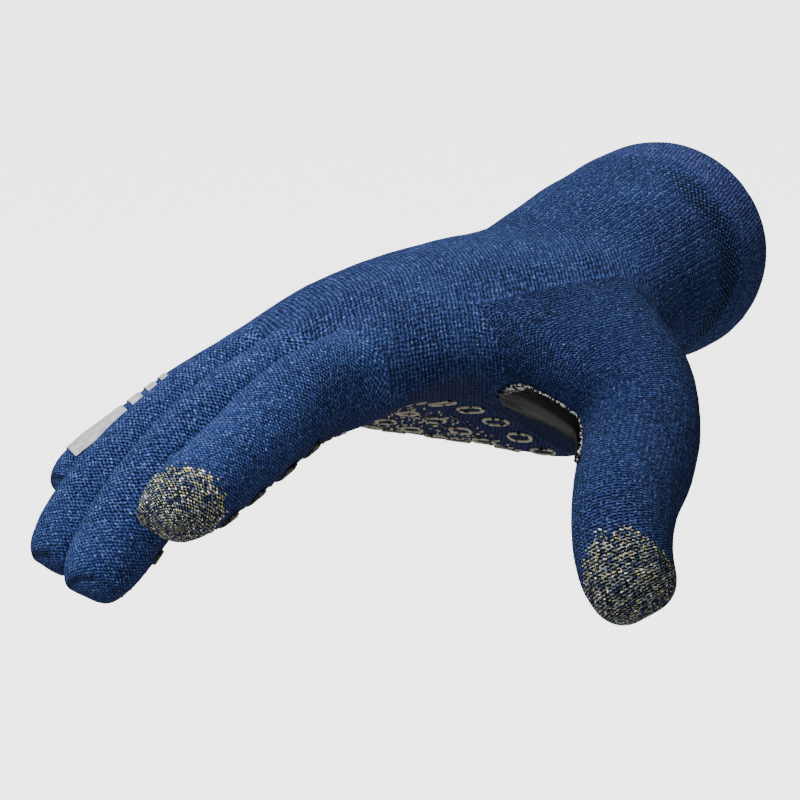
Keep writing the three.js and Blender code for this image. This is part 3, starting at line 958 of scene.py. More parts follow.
class DyeBath:
    """One material while its nodes are being laid."""

    def __init__(self, name: str) -> None:
        """Starts a material that holds a Principled shader."""
        self.material = bpy.data.materials.new(name)
        self.material.use_nodes = True
        self.tree = self.material.node_tree
        self.shader = next(n for n in self.tree.nodes if n.type == "BSDF_PRINCIPLED")

    def node(self, kind: str, settings: dict, inputs: dict) -> bpy.types.Node:
        """Adds any node.

        Args:
            kind: The node's type.
            settings: Its properties, set first.
            inputs: Values or links of its sockets, by number or name.

        Returns:
            The node.
        """
        made = self.tree.nodes.new(kind)
        for key, value in settings.items():
            setattr(made, key, value)
        for key, value in inputs.items():
            self.feed(made.inputs[key], value)
        return made

    def feed(self, socket: bpy.types.NodeSocket, value: object) -> None:
        """Links or sets a socket.

        Args:
            socket: The socket.
            value: A Strand, another socket, or a plain value.
        """
        if isinstance(value, Strand):
            value = value.socket
        if isinstance(value, bpy.types.NodeSocket):
            self.tree.links.new(value, socket)
        else:
            socket.default_value = value

    def map(self, name: str) -> tuple[Strand, Strand]:
        """The two coordinates of a UV map.

        Args:
            name: The map's name.

        Returns:
            Its u and v.
        """
        uv = self.node("ShaderNodeUVMap", {"uv_map": name}, {})
        parts = self.node("ShaderNodeSeparateXYZ", {}, {0: uv.outputs[0]})
        return Strand(self, parts.outputs[0]), Strand(self, parts.outputs[1])

    def vector(self, x: object, y: object, z: object = 0.0) -> bpy.types.NodeSocket:
        """Joins three numbers."""
        return self.node("ShaderNodeCombineXYZ", {}, {0: x, 1: y, 2: z}).outputs[0]

    def place(self) -> bpy.types.NodeSocket:
        """Object coordinates."""
        return self.node("ShaderNodeTexCoord", {}, {}).outputs["Object"]

    def clouds(self, where: object, scale: float, detail: float = 2.0, rough: float = 0.5) -> Strand:
        """Soft noise about 0.5.

        Args:
            where: Coordinates.
            scale: Its scale.
            detail: Its detail.
            rough: How strong the finer parts are.

        Returns:
            The noise.
        """
        inputs = {"Vector": where, "Scale": scale, "Detail": detail, "Roughness": rough}
        node = self.node("ShaderNodeTexNoise", {}, inputs)
        return Strand(self, node.outputs["Fac"])

    def dice(self, x: Strand, y: Strand) -> Strand:
        """A random number for each whole place."""
        inputs = {"Vector": self.vector(x, y)}
        node = self.node("ShaderNodeTexWhiteNoise", {"noise_dimensions": "3D"}, inputs)
        return Strand(self, node.outputs["Value"])

    def ramp(
        self, value: Strand, stops: Sequence[tuple[float, Sequence[float]]], steps: bool = False
    ) -> bpy.types.NodeSocket:
        """Colours along a number.

        Args:
            value: The number.
            stops: Places and colours.
            steps: Whether the colours change in steps.

        Returns:
            The colour.
        """
        made = self.node("ShaderNodeValToRGB", {}, {0: value})
        band = made.color_ramp
        band.interpolation = "CONSTANT" if steps else "LINEAR"
        while len(band.elements) < len(stops):
            band.elements.new(0.5)
        for element, (place, colour) in zip(band.elements, stops):
            element.position = place
            element.color = colour
        return made.outputs["Color"]

    def mix(self, share: object, first: object, second: object, kind: str = "MIX") -> bpy.types.NodeSocket:
        """Mixes two colours.

        Args:
            share: How much of the second.
            first: A colour.
            second: Another.
            kind: The blend.

        Returns:
            The mixed colour.
        """
        settings = {"data_type": "RGBA", "blend_type": kind}
        made = self.node("ShaderNodeMix", settings, {0: share, 6: first, 7: second})
        return made.outputs[2]

    def shaded(self, colour: object, value: Strand) -> bpy.types.NodeSocket:
        """Multiplies a colour by a number."""
        grey = self.node("ShaderNodeCombineColor", {}, {0: value, 1: value, 2: value}).outputs[0]
        return self.mix(1.0, colour, grey, "MULTIPLY")

    def relief(self, height: Strand, distance: float) -> None:
        """Raises the surface by a height, for shading.

        Args:
            height: 0 to 1.
            distance: How high 1 stands, in metres.
        """
        bump = self.node("ShaderNodeBump", {}, {"Strength": 1.0, "Distance": distance, "Height": height})
        self.feed(self.shader.inputs["Normal"], bump.outputs[0])

    def set(self, **sockets: object) -> None:
        """Sets or links sockets of the shader, named with _ for a space."""
        for name, value in sockets.items():
            self.feed(self.shader.inputs[name.replace("_", " ")], value)


@dataclass(frozen=True)
class Yarn:
    """The colours of a mottled yarn, from its darkest fibres to its lightest ones, and the painted shade
    between its loops.
    """

    dark: Sequence[float]
    body: Sequence[float]
    light: Sequence[float]
    between: Sequence[float]  # what shows between the loops: a colour of painted shade
    body_tones: tuple[float, float] = (0.4, 0.62)  # tones between which the fibres have their body colour

    def dyed(self, dye: DyeBath, tone: Strand) -> bpy.types.NodeSocket:
        """Colours a tone from 0 to 1.

        Args:
            dye: The material.
            tone: How light the fibres are.

        Returns:
            The colour.
        """
        low, high = self.body_tones
        return dye.ramp(tone, [(0.0, self.dark), (low, self.body), (high, self.body), (1.0, self.light)])


@dataclass(frozen=True)
class PalmSideShade:
    """The palm side of a tube, between two of its columns, darkened with painted shade where it faces away
    from the light.
    """

    tube: Tube
    start: float
    end: float
    fade: float = 0.6  # columns on each side of an edge that it fades over
    strength: float = 0.75
    shade_colour: Sequence[float] = linear(34, 32, 72)

    def with_painted_shade(self, dye: DyeBath, colour: object) -> bpy.types.NodeSocket:
        """Paints shade onto the palm side of a colour.

        Args:
            dye: The material.
            colour: The colour.

        Returns:
            The colour with the painted shade.
        """
        column, _ = dye.map("place")
        low, high = self.tube.on_map(self.start), self.tube.on_map(self.end)
        side = column.rise(low - self.fade, low + self.fade)
        side = side * (1 - column.rise(high - self.fade, high + self.fade))
        return dye.mix(side * self.strength, colour, self.shade_colour)


@dataclass(frozen=True)
class TouchZone:
    """Where touchscreen yarn is knitted in: past an edge that swings in a wave around the finger."""

    tube: Tube
    edge: float
    swing: float
    nearest: float  # the column where the zone reaches furthest towards the hand
    farthest: float = 0.4  # most that the edge moves the other way
    fray: float = 0.3  # how far the edge differs from stitch to stitch, in rows

    def share(self, dye: DyeBath, loop: Strand) -> Strand:
        """Tells the stitches of touchscreen yarn.

        Args:
            dye: The material.
            loop: A random number for each stitch.

        Returns:
            1 on such a stitch, otherwise 0.
        """
        column, row = dye.map("place")
        turn = (column - self.tube.on_map(self.nearest)) * (math.tau / self.tube.around)
        edge = self.edge - (turn.cosine() * self.swing).most(-self.farthest)
        return (row + (loop - 0.5) * self.fray - edge).above(0.0)


@dataclass(frozen=True)
class TipSeam:
    """The grafted seam that closes a fingertip, a shallow furrow that runs slantwise over it, darkened with
    painted shade.
    """

    tube: Tube
    row: float
    column: float
    slope: float
    banks: tuple[float, float] = (0.027, 0.162)  # rows from its middle between which its side rises
    ends: tuple[float, float] = (1.2, 2.2)  # columns from its middle between which it runs out

    def furrow(self, dye: DyeBath) -> Strand:
        """Draws the furrow.

        Args:
            dye: The material.

        Returns:
            1 in the furrow, otherwise 0.
        """
        column, row = dye.map("place")
        away = column - self.tube.on_map(self.column)
        off = abs(row - away * self.slope - self.row)
        return (1 - off.rise(*self.banks)) * (1 - abs(away).rise(*self.ends))


@dataclass(frozen=True)
class OpenBand:
    """The band of open stitches above the hem, most open and so darkest on the thumb side: its openings are
    painted shade, and its stretched loops are lightened with painted light.
    """

    column: float = 19.1  # where it is most open, and its painted shade darkest
    turns: tuple[float, float] = (0.1, 0.75)  # cosines away from that column between which it opens
    start: tuple[float, float] = (1.04, 1.24)  # rows between which it opens
    end: tuple[float, float] = (1.2, 1.65)  # rows between which it closes, where it is least open
    widest: float = 0.38  # how much further it reaches where it is most open, in rows
    least: float = 0.4
    slide: float = 0.7  # how far it moves away from the hem towards the palm, in rows
    brighter: float = 0.35  # painted light: how far the colour of the stretched loops is raised
    sink: float = 0.8  # how far the openings sink, in heights of a loop
    ladder_wales: float = 1.3  # waves of openings across each wale
    ladder_courses: float = 0.5  # and along each course

    def share(self, dye: DyeBath) -> Strand:
        """Draws the band.

        Args:
            dye: The material.

        Returns:
            How open the knit is, from 0 to 1.
        """
        column, row = dye.map("place")
        turn = (column - self.column) * (math.tau / Tube.CUFF.around)
        row = row + turn.sine().least(0.0) * self.slide
        near = turn.cosine().rise(*self.turns)
        fade = 1 - (row - near * self.widest).rise(*self.end)
        return row.rise(*self.start) * fade * (near * (1 - self.least) + self.least)

    def opened(self, dye: DyeBath, shade: Strand, height: Strand) -> tuple[Strand, Strand]:
        """Opens the stitches of the band, painting shade into the openings and light onto the stretched
        loops.

        Args:
            dye: The material.
            shade: How light the knit is.
            height: How high it stands.

        Returns:
            The shade and the height with the openings.
        """
        u, v = dye.map("knit")
        across = (u * (math.tau * self.ladder_wales)).cosine()
        along = (v * (math.tau * self.ladder_courses)).cosine()
        share = self.share(dye)
        holes = share * (across * along).rise(-0.1, 0.2)
        # Painted shade darkens the openings; painted light raises the stretched loops.
        return shade * (1 + share * self.brighter) * (1 - holes), height - holes * self.sink


@dataclass(frozen=True)
class KnitFinish:
    """A fine knit of mottled yarn, with painted shade between its loops."""

    CLOUDS = 60.0  # how fine the clouds in the dye are
    FLECKS = 1700.0  # how fine the flecks of loose fibre are
    WEAR = 45.0  # how fine the worn patches are
    UNEVENNESS = 1150.0  # how fine the differences between loops are
    MOTTLE = 2.2  # how far the tone varies from fibre to fibre
    LOOP_TONE = 0.4  # from loop to loop
    CLOUD_TONE = 0.2  # from cloud to cloud
    FLECK_TONE = 0.5  # how much lighter a fleck is
    BODY_TONE = 0.4
    WORN_SHARE = 0.25  # share of the painted shade between the loops that worn patches lose
    RIB_LEAN = 0.25  # how far a rib leans in each course, in ribs
    SOFT = {"Roughness": 0.9, "Specular_IOR_Level": 0.12, "Sheen_Weight": 0.06, "Sheen_Roughness": 0.5}
    SHEEN = (0.5, 0.66, 1.0, 1.0)
    TOUCH_STRANDS = (
        (0.0, linear(48, 60, 96)), (0.2, linear(100, 112, 136)), (0.4, linear(136, 140, 136)),
        (0.62, linear(172, 174, 158)), (0.82, linear(192, 188, 130)), (0.9, linear(240, 240, 228)),
    )

    name: str
    yarn: Yarn
    stitch: Stitch = Stitch.PLAIN
    lay: tuple[float, float, float] = (1.0, 0.0, 0.1)  # how far pits are staggered, split legs, split courses
    wave: float = 0.0  # how far the courses wave, in courses
    level: float = 1.0  # painted shade: how light the knit comes out, lower on pieces that catch less light, and also evening out how light the lays come out
    uneven: float = 1.2  # how much the loops' heights vary
    pit: float = 0.06  # painted shade: how much of the colour is left between the loops
    crown: float = 1.7  # painted light: how far the colour is raised on top of a loop
    drift: tuple[float, float] = (0.8, 1.3)  # how far wales and courses wander, in wales and courses
    relief: float = 0.5 * MM
    palm: Optional[PalmSideShade] = None
    open_band: Optional[OpenBand] = None
    touch: Optional[TouchZone] = None
    seam: Optional[TipSeam] = None

    @staticmethod
    def fibres(dye: DyeBath, where: bpy.types.NodeSocket) -> Strand:
        """Reads the mottle of the fibres at a place that is counted in fibres."""
        return dye.clouds(where, 1.0, 3.0, 0.75)

    def loops(self, dye: DyeBath) -> tuple[Strand, Strand, Strand]:
        """Lays the loops.

        Args:
            dye: The material.

        Returns:
            The height of the loops, a random number for each, and the mottle of the fibres.
        """
        u, v = dye.map("knit")
        aside = dye.clouds(dye.vector(u, v), 0.5, rough=0.7) - 0.5
        ahead = dye.clouds(dye.vector(u, v, 7.0), 0.7, rough=0.7) - 0.5
        u = u + aside * self.drift[0]
        v = v + ahead * self.drift[1]
        return self.ribs(dye, u, v) if self.stitch is Stitch.RIB else self.plain(dye, u, v)

    def ribs(self, dye: DyeBath, u: Strand, v: Strand) -> tuple[Strand, Strand, Strand]:
        """Lays the leaning ribs of a hem, two to a wale.

        Args:
            dye: The material.
            u: Wales.
            v: Courses.

        Returns:
            The same as for all loops.
        """
        rib = u * 2.0 + v * self.RIB_LEAN
        ridge = 1 - abs(rib.part() - 0.5) * 2
        fibre = self.fibres(dye, dye.vector(rib * 2.6, v * 1.8))
        return ridge * 0.6 + fibre * 0.5, dye.dice(rib.floor(), v.floor()), fibre

    def plain(self, dye: DyeBath, u: Strand, v: Strand) -> tuple[Strand, Strand, Strand]:
        """Lays the loops of a plain knit, two legs to a wale.

        Args:
            dye: The material.
            u: Wales.
            v: Courses.

        Returns:
            The same as for all loops.
        """
        v = v + (u * math.tau).sine() * self.wave
        across, along = (u * math.tau).cosine(), (v * math.tau).cosine()
        staggered, legs, courses = self.lay
        split = (u * (2 * math.tau)).cosine()
        height = across * along * staggered + split * legs + along * courses
        leg = (u * 2.0 + 0.5).floor()
        course = (v - leg * 0.5 + 0.5).floor()
        fibre = self.fibres(dye, dye.vector(u * 6.0, v * 2.2, leg * 3.7))
        return height * 0.5 + 0.5, dye.dice(leg, course), fibre

    def tone(self, dye: DyeBath, loop: Strand, fibre: Strand) -> Strand:
        """Mixes the tone of the yarn from its fibres, its loops, clouds in the dye and loose flecks.

        Args:
            dye: The material.
            loop: A random number for each loop.
            fibre: The mottle of the fibres.

        Returns:
            How light the yarn is, from 0 to 1.
        """
        cloud = dye.clouds(dye.place(), self.CLOUDS)
        fleck = dye.clouds(dye.place(), self.FLECKS, 1.0).rise(0.56, 0.74)
        tone = (fibre - 0.5) * self.MOTTLE + (loop - 0.5) * self.LOOP_TONE
        tone = tone + (cloud - 0.5) * self.CLOUD_TONE + fleck * self.FLECK_TONE + self.BODY_TONE
        return tone.clamped()

    def touch_colour(self, dye: DyeBath, loop: Strand, fibre: Strand, crest: Strand) -> bpy.types.NodeSocket:
        """Colours the loops of touchscreen yarn, with painted shade between them.

        Args:
            dye: The material.
            loop: A random number for each loop.
            fibre: The mottle of the fibres.
            crest: 1 on top of a loop, 0 between the loops.

        Returns:
            The colour.
        """
        strand = dye.shaded(dye.ramp(loop, self.TOUCH_STRANDS, steps=True), fibre * 1.6 + 0.15)
        # Painted shade: the colour falls almost to black between the loops, scaled by the knit's level.
        return dye.shaded(strand, crest ** 2.6 * (2.4 * self.level) + 0.01)

    def material(self) -> bpy.types.Material:
        """Makes the material."""
        dye = DyeBath(self.name)
        height, loop, fibre = self.loops(dye)
        colour = self.yarn.dyed(dye, self.tone(dye, loop, fibre))
        # Painted shade: the colour is darkened between the loops and raised on their tops, by the height of
        # the knit.
        fresh = dye.clouds(dye.place(), self.WEAR).rise(0.36, 0.6) * self.WORN_SHARE + (1 - self.WORN_SHARE)
        height = height + (dye.clouds(dye.place(), self.UNEVENNESS, rough=0.75) - 0.5) * self.uneven
        crest = 1 - (1 - height.rise(0.15, 0.85)) * fresh
        shade = (crest * (self.crown - self.pit) + self.pit) * self.level
        # Painted shade on the palm side, which faces away from the light.
        if self.palm:
            colour = self.palm.with_painted_shade(dye, colour)
        # Painted shade in the band's openings, painted light on its stretched loops.
        if self.open_band:
            shade, height = self.open_band.opened(dye, shade, height)
        if self.seam:
            furrow = self.seam.furrow(dye)
            # Painted shade: the furrow is darkened as well as sunk.
            shade = shade * (1 - furrow * 0.7)
            height = height - furrow * 1.2
        # Painted shade: the yarn's dark colour is mixed in where the loops are low.
        colour = dye.mix((1 - crest) * 0.5, dye.shaded(colour, shade), self.yarn.between)
        if self.touch:
            beads = self.touch_colour(dye, loop, fibre, crest)
            colour = dye.mix(self.touch.share(dye, loop), colour, beads)
        dye.set(Base_Color=colour, Sheen_Tint=self.SHEEN, **self.SOFT)
        dye.relief(height + (fibre - 0.5) * 0.4, self.relief)
        return dye.material


@dataclass(frozen=True)
class FilmFinish:
    """Glossy black film, crumpled along its edge, with painted highlights: white glints painted into its
    colour along the edge on one side, and a grey lower face painted as reflected sheen.
    """

    name: str = "web_film"
    edge: tuple[float, float] = (0.74, 0.92)  # where the edge sets in, from 0 in the middle to 1 outside
    # painted highlight: where the white glints set in along the edge
    glint_edge: tuple[float, float] = (0.9, 0.95)
    glint_side: tuple[float, float] = (-0.7, 0.3)  # where the painted glints fade out, from -1 to 1 across the film
    upper_side: tuple[float, float] = (-0.25, 0.1)  # where the blacker, duller upper side ends; the grey below it is painted reflection
    relief: float = 1.2 * MM

    def material(self) -> bpy.types.Material:
        """Makes the material."""
        dye = DyeBath(self.name)
        rim, side = dye.map("rim")
        where = dye.place()
        crumple = dye.clouds(where, 700.0, 3.0, 0.65)
        swell = dye.clouds(where, 110.0)
        edge = rim.rise(*self.edge)
        upper = 1 - side.rise(*self.upper_side)
        sparkle = dye.clouds(where, 1300.0).rise(0.47, 0.56)
        painted_glints = rim.rise(*self.glint_edge) * (1 - side.rise(*self.glint_side)) * sparkle
        # Painted reflection: the film is black, and its lower face is coloured grey for the sheen it catches.
        face = dye.mix(upper, linear(58, 58, 60), linear(2, 2, 3))
        colour = dye.mix(edge * (1 - painted_glints), face, linear(4, 4, 5))
        # Painted highlight: white specks along the crumpled edge stand in for glints of light.
        colour = dye.mix(painted_glints, colour, linear(248, 248, 248))
        dye.set(Base_Color=colour, Roughness=0.5 - edge * 0.15, Specular_IOR_Level=0.1)
        dye.set(Coat_Weight=(1 - upper) * 0.2 + edge * 0.12, Coat_Roughness=0.12)
        dye.relief(crumple * (edge + 0.06) + swell * 0.5, self.relief)
        return dye.material


@dataclass(frozen=True)
class PrintFinish:
    """Raised silicone print, worn to its dark base in places."""

    name: str
    face: Sequence[float]
    base: Sequence[float]
    bare: float = 0.5  # above this level of its noise the base shows
    relief: float = 0.3 * MM

    def material(self) -> bpy.types.Material:
        """Makes the material."""
        dye = DyeBath(self.name)
        where = dye.place()
        speck = dye.clouds(where, 1700.0, 3.0, 0.7)
        worn = dye.clouds(where, 700.0, rough=0.6).rise(self.bare, self.bare + 0.1)
        colour = dye.shaded(dye.mix(worn, self.face, self.base), speck * 1.2 + 0.35)
        dye.set(Base_Color=colour, Roughness=0.6, Specular_IOR_Level=0.3)
        dye.relief(speck, self.relief)
        return dye.material


@dataclass(frozen=True)
class ReflectorFinish:
    """Light grey reflective transfer of fine glass beads, with the knit showing faintly through it."""

    name: str = "reflective_transfer"
    relief: float = 0.12 * MM

    def material(self) -> bpy.types.Material:
        """Makes the material."""
        dye = DyeBath(self.name)
        where = dye.place()
        beads = dye.clouds(where, 2600.0, 1.0)
        worn = dye.clouds(where, 420.0, 3.0, 0.65)
        colour = dye.mix(worn.rise(0.35, 0.6), linear(190, 191, 194), linear(226, 227, 228))
        dye.set(Base_Color=colour, Roughness=0.5 + beads * 0.2, Specular_IOR_Level=0.4)
        dye.relief(beads * 0.4 + worn * 0.6, self.relief)
        return dye.material


# The last colour of each yarn is painted shade, for between the loops.
BLUE_YARN = Yarn(linear(24, 32, 84), linear(57, 82, 146), linear(122, 148, 206), linear(14, 22, 68))
HEM_YARN = Yarn(linear(20, 24, 66), linear(54, 68, 124), linear(112, 126, 184), linear(12, 16, 52))


# Pieces


def show(name: str, mesh: bpy.types.Mesh, nodes: Sequence[str]) -> bpy.types.Object:
    """Puts a finished mesh in the scene as a piece of the glove.

    Args:
        name: The piece's name.
        mesh: Its mesh.
        nodes: The solids that it stands for.

    Returns:
        The piece.
    """
    piece = stand(name, mesh)
    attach(piece, "root")
    if nodes:
        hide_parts(*nodes)
    log.info("%s: %d faces", name, len(mesh.polygons))
    return piece


@dataclass
class KnitPiece:
    """One knitted piece: a closed wall cut from the glove's form."""

    node: str
    finish: KnitFinish
    slot: str = "knit"
    thickness: float = WALL
    rolled_row: Optional[float] = None  # the row of the open edge that is rolled over
    roll: float = 0.46  # share of the thickness that the roll takes from each face
    roll_steps: int = 4
    sharp: float = 0.8  # least angle of the edges that it rounds, in radians

    def build(self, form: GloveForm) -> bpy.types.Object:
        """Cuts the piece from the form, gives it its wall and dresses it.

        Args:
            form: The glove's form.

        Returns:
            The piece.
        """
        bm = bmesh.new()
        bm.from_mesh(form.mesh)
        origin = bm.verts.layers.int.new("origin")
        for vert in bm.verts:
            vert[origin] = vert.index
        mine = PIECES.index(self.node)
        bmesh.ops.delete(bm, geom=[f for f in bm.faces if f.material_index != mine], context="FACES")
        for vert in second_side(bm):
            vert.co -= form.normals[vert[origin]] * self.thickness
        bmesh.ops.recalc_face_normals(bm, faces=bm.faces)
        for face in bm.faces:
            face.material_index = 0
        if self.rolled_row is not None:
            self.roll_edge(bm, form, origin)
        sources = [(v.co.copy(), v[origin]) for v in bm.verts]
        name = f"{self.node}_knit"
        mesh = mesh_of(bm, name)
        self.keep_form_normals(mesh, form, sources)
        mesh.materials.append(self.finish.material())
        return show(name, mesh, [self.node])

    def roll_edge(self, bm: bmesh.types.BMesh, form: GloveForm, origin: bmesh.types.BMLayerItem) -> None:
        """Rounds the open edge over, from the outer face to the inner one.

        Args:
            bm: The wall.
            form: The glove's form.
            origin: The layer that holds the form's vertex for each vertex.
        """
        on_edge = {v for v in bm.verts if abs(form.places[v[origin]][2] - self.rolled_row) < 0.01}
        rim = [e for e in bm.edges if set(e.verts) <= on_edge and e.calc_face_angle(0.0) > self.sharp]
        for vert in round_over(bm, rim, self.thickness * self.roll, self.roll_steps):
            vert[origin] = -1

    def keep_form_normals(
        self, mesh: bpy.types.Mesh, form: GloveForm, sources: Sequence[tuple[Vector, int]]
    ) -> None:
        """Shades the wall with the whole form's normals, so that neighbours join without a line.

        Args:
            mesh: The wall.
            form: The glove's form.
            sources: Place of each vertex and the form's vertex that it comes from.
        """
        normals = []
        for co, source in sources:
            if source < 0:
                normals.append(Vector())
                continue
            inner = (co - form.mesh.vertices[source].co).length > self.thickness / 2
            normals.append(-form.normals[source] if inner else form.normals[source])
        mesh.normals_split_custom_set_from_vertices([tuple(n) for n in normals])
        mesh.attributes.remove(mesh.attributes["origin"])


@dataclass
class Pad:
    """A thin pad that lies on a tube of the form, between two rows and two columns."""

    ROW_WANDER = (23.0, 17.0, 1.0)  # scales along the pad and across it, and the layer of the noise
    COLUMN_WANDER = (19.0, 21.0, 5.0)
    CRUMPLES = (19.0, 13.0, 3.0)
    WANDER_FALL = 6  # how fast the wander dies away inside the edge
    CRUMPLE_FALL = 4

    name: str
    nodes: Sequence[str]
    tube: Tube
    rows: tuple[float, float]
    columns: tuple[float, float]
    steps: tuple[int, int]
    finish: Union[FilmFinish, PrintFinish, ReflectorFinish]
    slot: str
    lift: float = 0.12 * MM
    thickness: float = 0.35 * MM
    drift: tuple[float, float] = (0.0, 0.0)  # how far each column edge moves by the last row
    roundness: float = 0.0  # 0 for square corners, 1 for an ellipse
    ragged: float = 0.0  # how far the outline wanders, in rows and columns
    crumple: float = 0.0  # how high the edge is crumpled
    rounding: float = 0.45  # share of the thickness that its top edge is rounded by
    rounding_steps: int = 2
    sharp: float = 1.0  # least angle of the edges that are rounded, in radians

    @staticmethod
    def wander(x: float, y: float, scales: tuple[float, float, float]) -> float:
        """Reads smooth noise, scaled along x and y, in one of its layers."""
        return noise.noise((x * scales[0], y * scales[1], scales[2]))

    def spot(self, across: float, along: float) -> tuple[float, float]:
        """Row and column of a place on the pad.

        Args:
            across: From -1 at the first row to 1 at the last.
            along: From -1 at the first column to 1 at the last.

        Returns:
            The row and the column.
        """
        s = across * math.sqrt(1 - self.roundness * along * along / 2)
        t = along * math.sqrt(1 - self.roundness * across * across / 2)
        edge = max(abs(across), abs(along)) ** self.WANDER_FALL * self.ragged
        s, t = (s + 1) / 2, (t + 1) / 2
        low, high = (c + d * s for c, d in zip(self.columns, self.drift))
        row = blend_number(*self.rows, s) + self.wander(s, t, self.ROW_WANDER) * edge
        return row, blend_number(low, high, t) + self.wander(s, t, self.COLUMN_WANDER) * edge

    def build(self, form: GloveForm) -> bpy.types.Object:
        """Lays the pad on the form.

        Args:
            form: The glove's form.

        Returns:
            The piece.
        """
        bm = bmesh.new()
        rim = bm.loops.layers.uv.new("rim")
        number = bm.verts.layers.int.new("number")
        bmesh.ops.create_grid(bm, x_segments=self.steps[0], y_segments=self.steps[1], size=1)
        corners = list(bm.verts)
        places = [(v.co.x, v.co.y) for v in corners]
        for i, vert in enumerate(corners):
            vert[number] = i
        for face in bm.faces:
            for loop in face.loops:
                x, y = places[loop.vert[number]]
                loop[rim].uv = (max(abs(x), abs(y)), y)
        for vert in second_side(bm):
            vert.co = form.at(self.tube, *self.spot(*places[vert[number]]), self.lift)
        for vert, place in zip(corners, places):
            near_edge = max(map(abs, place)) ** self.CRUMPLE_FALL
            swell = self.crumple * near_edge * self.wander(*place, self.CRUMPLES)
            vert.co = form.at(self.tube, *self.spot(*place), self.lift + self.thickness + max(swell, 0))
        bmesh.ops.recalc_face_normals(bm, faces=bm.faces)
        top = set(corners)
        edges = [e for e in bm.edges if set(e.verts) <= top and e.calc_face_angle(0.0) > self.sharp]
        round_over(bm, edges, self.thickness * self.rounding, self.rounding_steps)
        mesh = mesh_of(bm, self.name)
        mesh.attributes.remove(mesh.attributes["number"])
        mesh.materials.append(self.finish.material())
        return show(self.name, mesh, self.nodes)


@dataclass(frozen=True)
class RingLine:
    """A line of printed rings along one column of a tube."""

    tube: Tube
    column: float
    first: float  # row of its first ring
    count: int


@dataclass
class PalmRings:
    """The raised rounded rings printed on the palm."""

    length: float = 6 * MM
    width: float = 7.6 * MM
    line: float = 1.0 * MM
    height: float = 0.6 * MM
    profile: tuple[tuple[float, float], ...] = (  # shares of the line's width, and of its height there
        (0.0, 0.1), (0.12, 0.75), (0.35, 1.0), (0.65, 1.0), (0.88, 0.75), (1.0, 0.1),
    )
    blunt: float = 0.05  # how far the outline swells at its four corners
    turn: float = math.radians(20)
    segments: int = 24
    spacing: float = 0.47  # rows from ring to ring
    lines: tuple[RingLine, ...] = (
        RingLine(Tube.HAND, 16.45, 2.35, 6),
        RingLine(Tube.HAND, 14.9, 2.3, 5),
        RingLine(Tube.HAND, 13.3, 2.1, 5),
        RingLine(Tube.HAND, 11.7, 2.3, 5),
    )

    def spots(self) -> list[tuple[Tube, float, float]]:
        """Tube, row and column of each ring's middle."""
        return [(n.tube, n.first + i * self.spacing, n.column) for n in self.lines for i in range(n.count)]

    def outline(self, inset: float) -> list[Vector]:
        """The ring's outline, an oval with blunt corners, drawn in by an inset.

        Args:
            inset: How far it is drawn in.

        Returns:
            Points about the ring's middle.
        """
        points = []
        for i in range(self.segments):
            angle = math.tau * i / self.segments
            blunt = 1 + self.blunt * math.cos(4 * angle + math.pi)
            x = (self.length / 2 - inset) * math.cos(angle) * blunt
            y = (self.width / 2 - inset) * math.sin(angle) * blunt
            points.append(Matrix.Rotation(self.turn, 2) @ Vector((x, y)))
        return points

    def ring(
        self, form: GloveForm, spot: tuple[Tube, float, float], name: str, finish: bpy.types.Material
    ) -> None:
        """Prints one ring.

        Args:
            form: The glove's form.
            spot: Tube, row and column of its middle.
            name: The solid that it stands for.
            finish: Its material.
        """
        tube, row, column = spot
        tall, wide = form.spans_at(tube, row, column)
        bm = bmesh.new()
        loop = bmesh.ops.create_circle(bm, segments=self.segments, radius=1)["verts"]
        foot = list(loop)
        for step, (share, high) in enumerate((*self.profile, self.profile[0])):
            if step:
                loop, _ = grow_ring(bm, loop)
            for vert, place in zip(loop, self.outline(share * self.line)):
                vert.co = form.at(tube, row + place.x / tall, column + place.y / wide, high * self.height)
        bmesh.ops.remove_doubles(bm, verts=[*foot, *loop], dist=0.001 * MM)
        bmesh.ops.recalc_face_normals(bm, faces=bm.faces)
        mesh = mesh_of(bm, f"{name}_print")
        mesh.materials.append(finish)
        show(f"{name}_print", mesh, [name])

    def build(self, form: GloveForm, finish: bpy.types.Material) -> None:
        """Prints all the rings.

        Args:
            form: The glove's form.
            finish: Their material.
        """
        for i, spot in enumerate(self.spots()):
            self.ring(form, spot, f"palm_ring_{i + 1:02d}", finish)


@dataclass(frozen=True)
class PrintField:
    """A stretch of a tube that is covered with fine raised dashes."""

    tube: Tube
    rows: tuple[float, float]
    columns: tuple[float, float]
    counts: tuple[int, int]


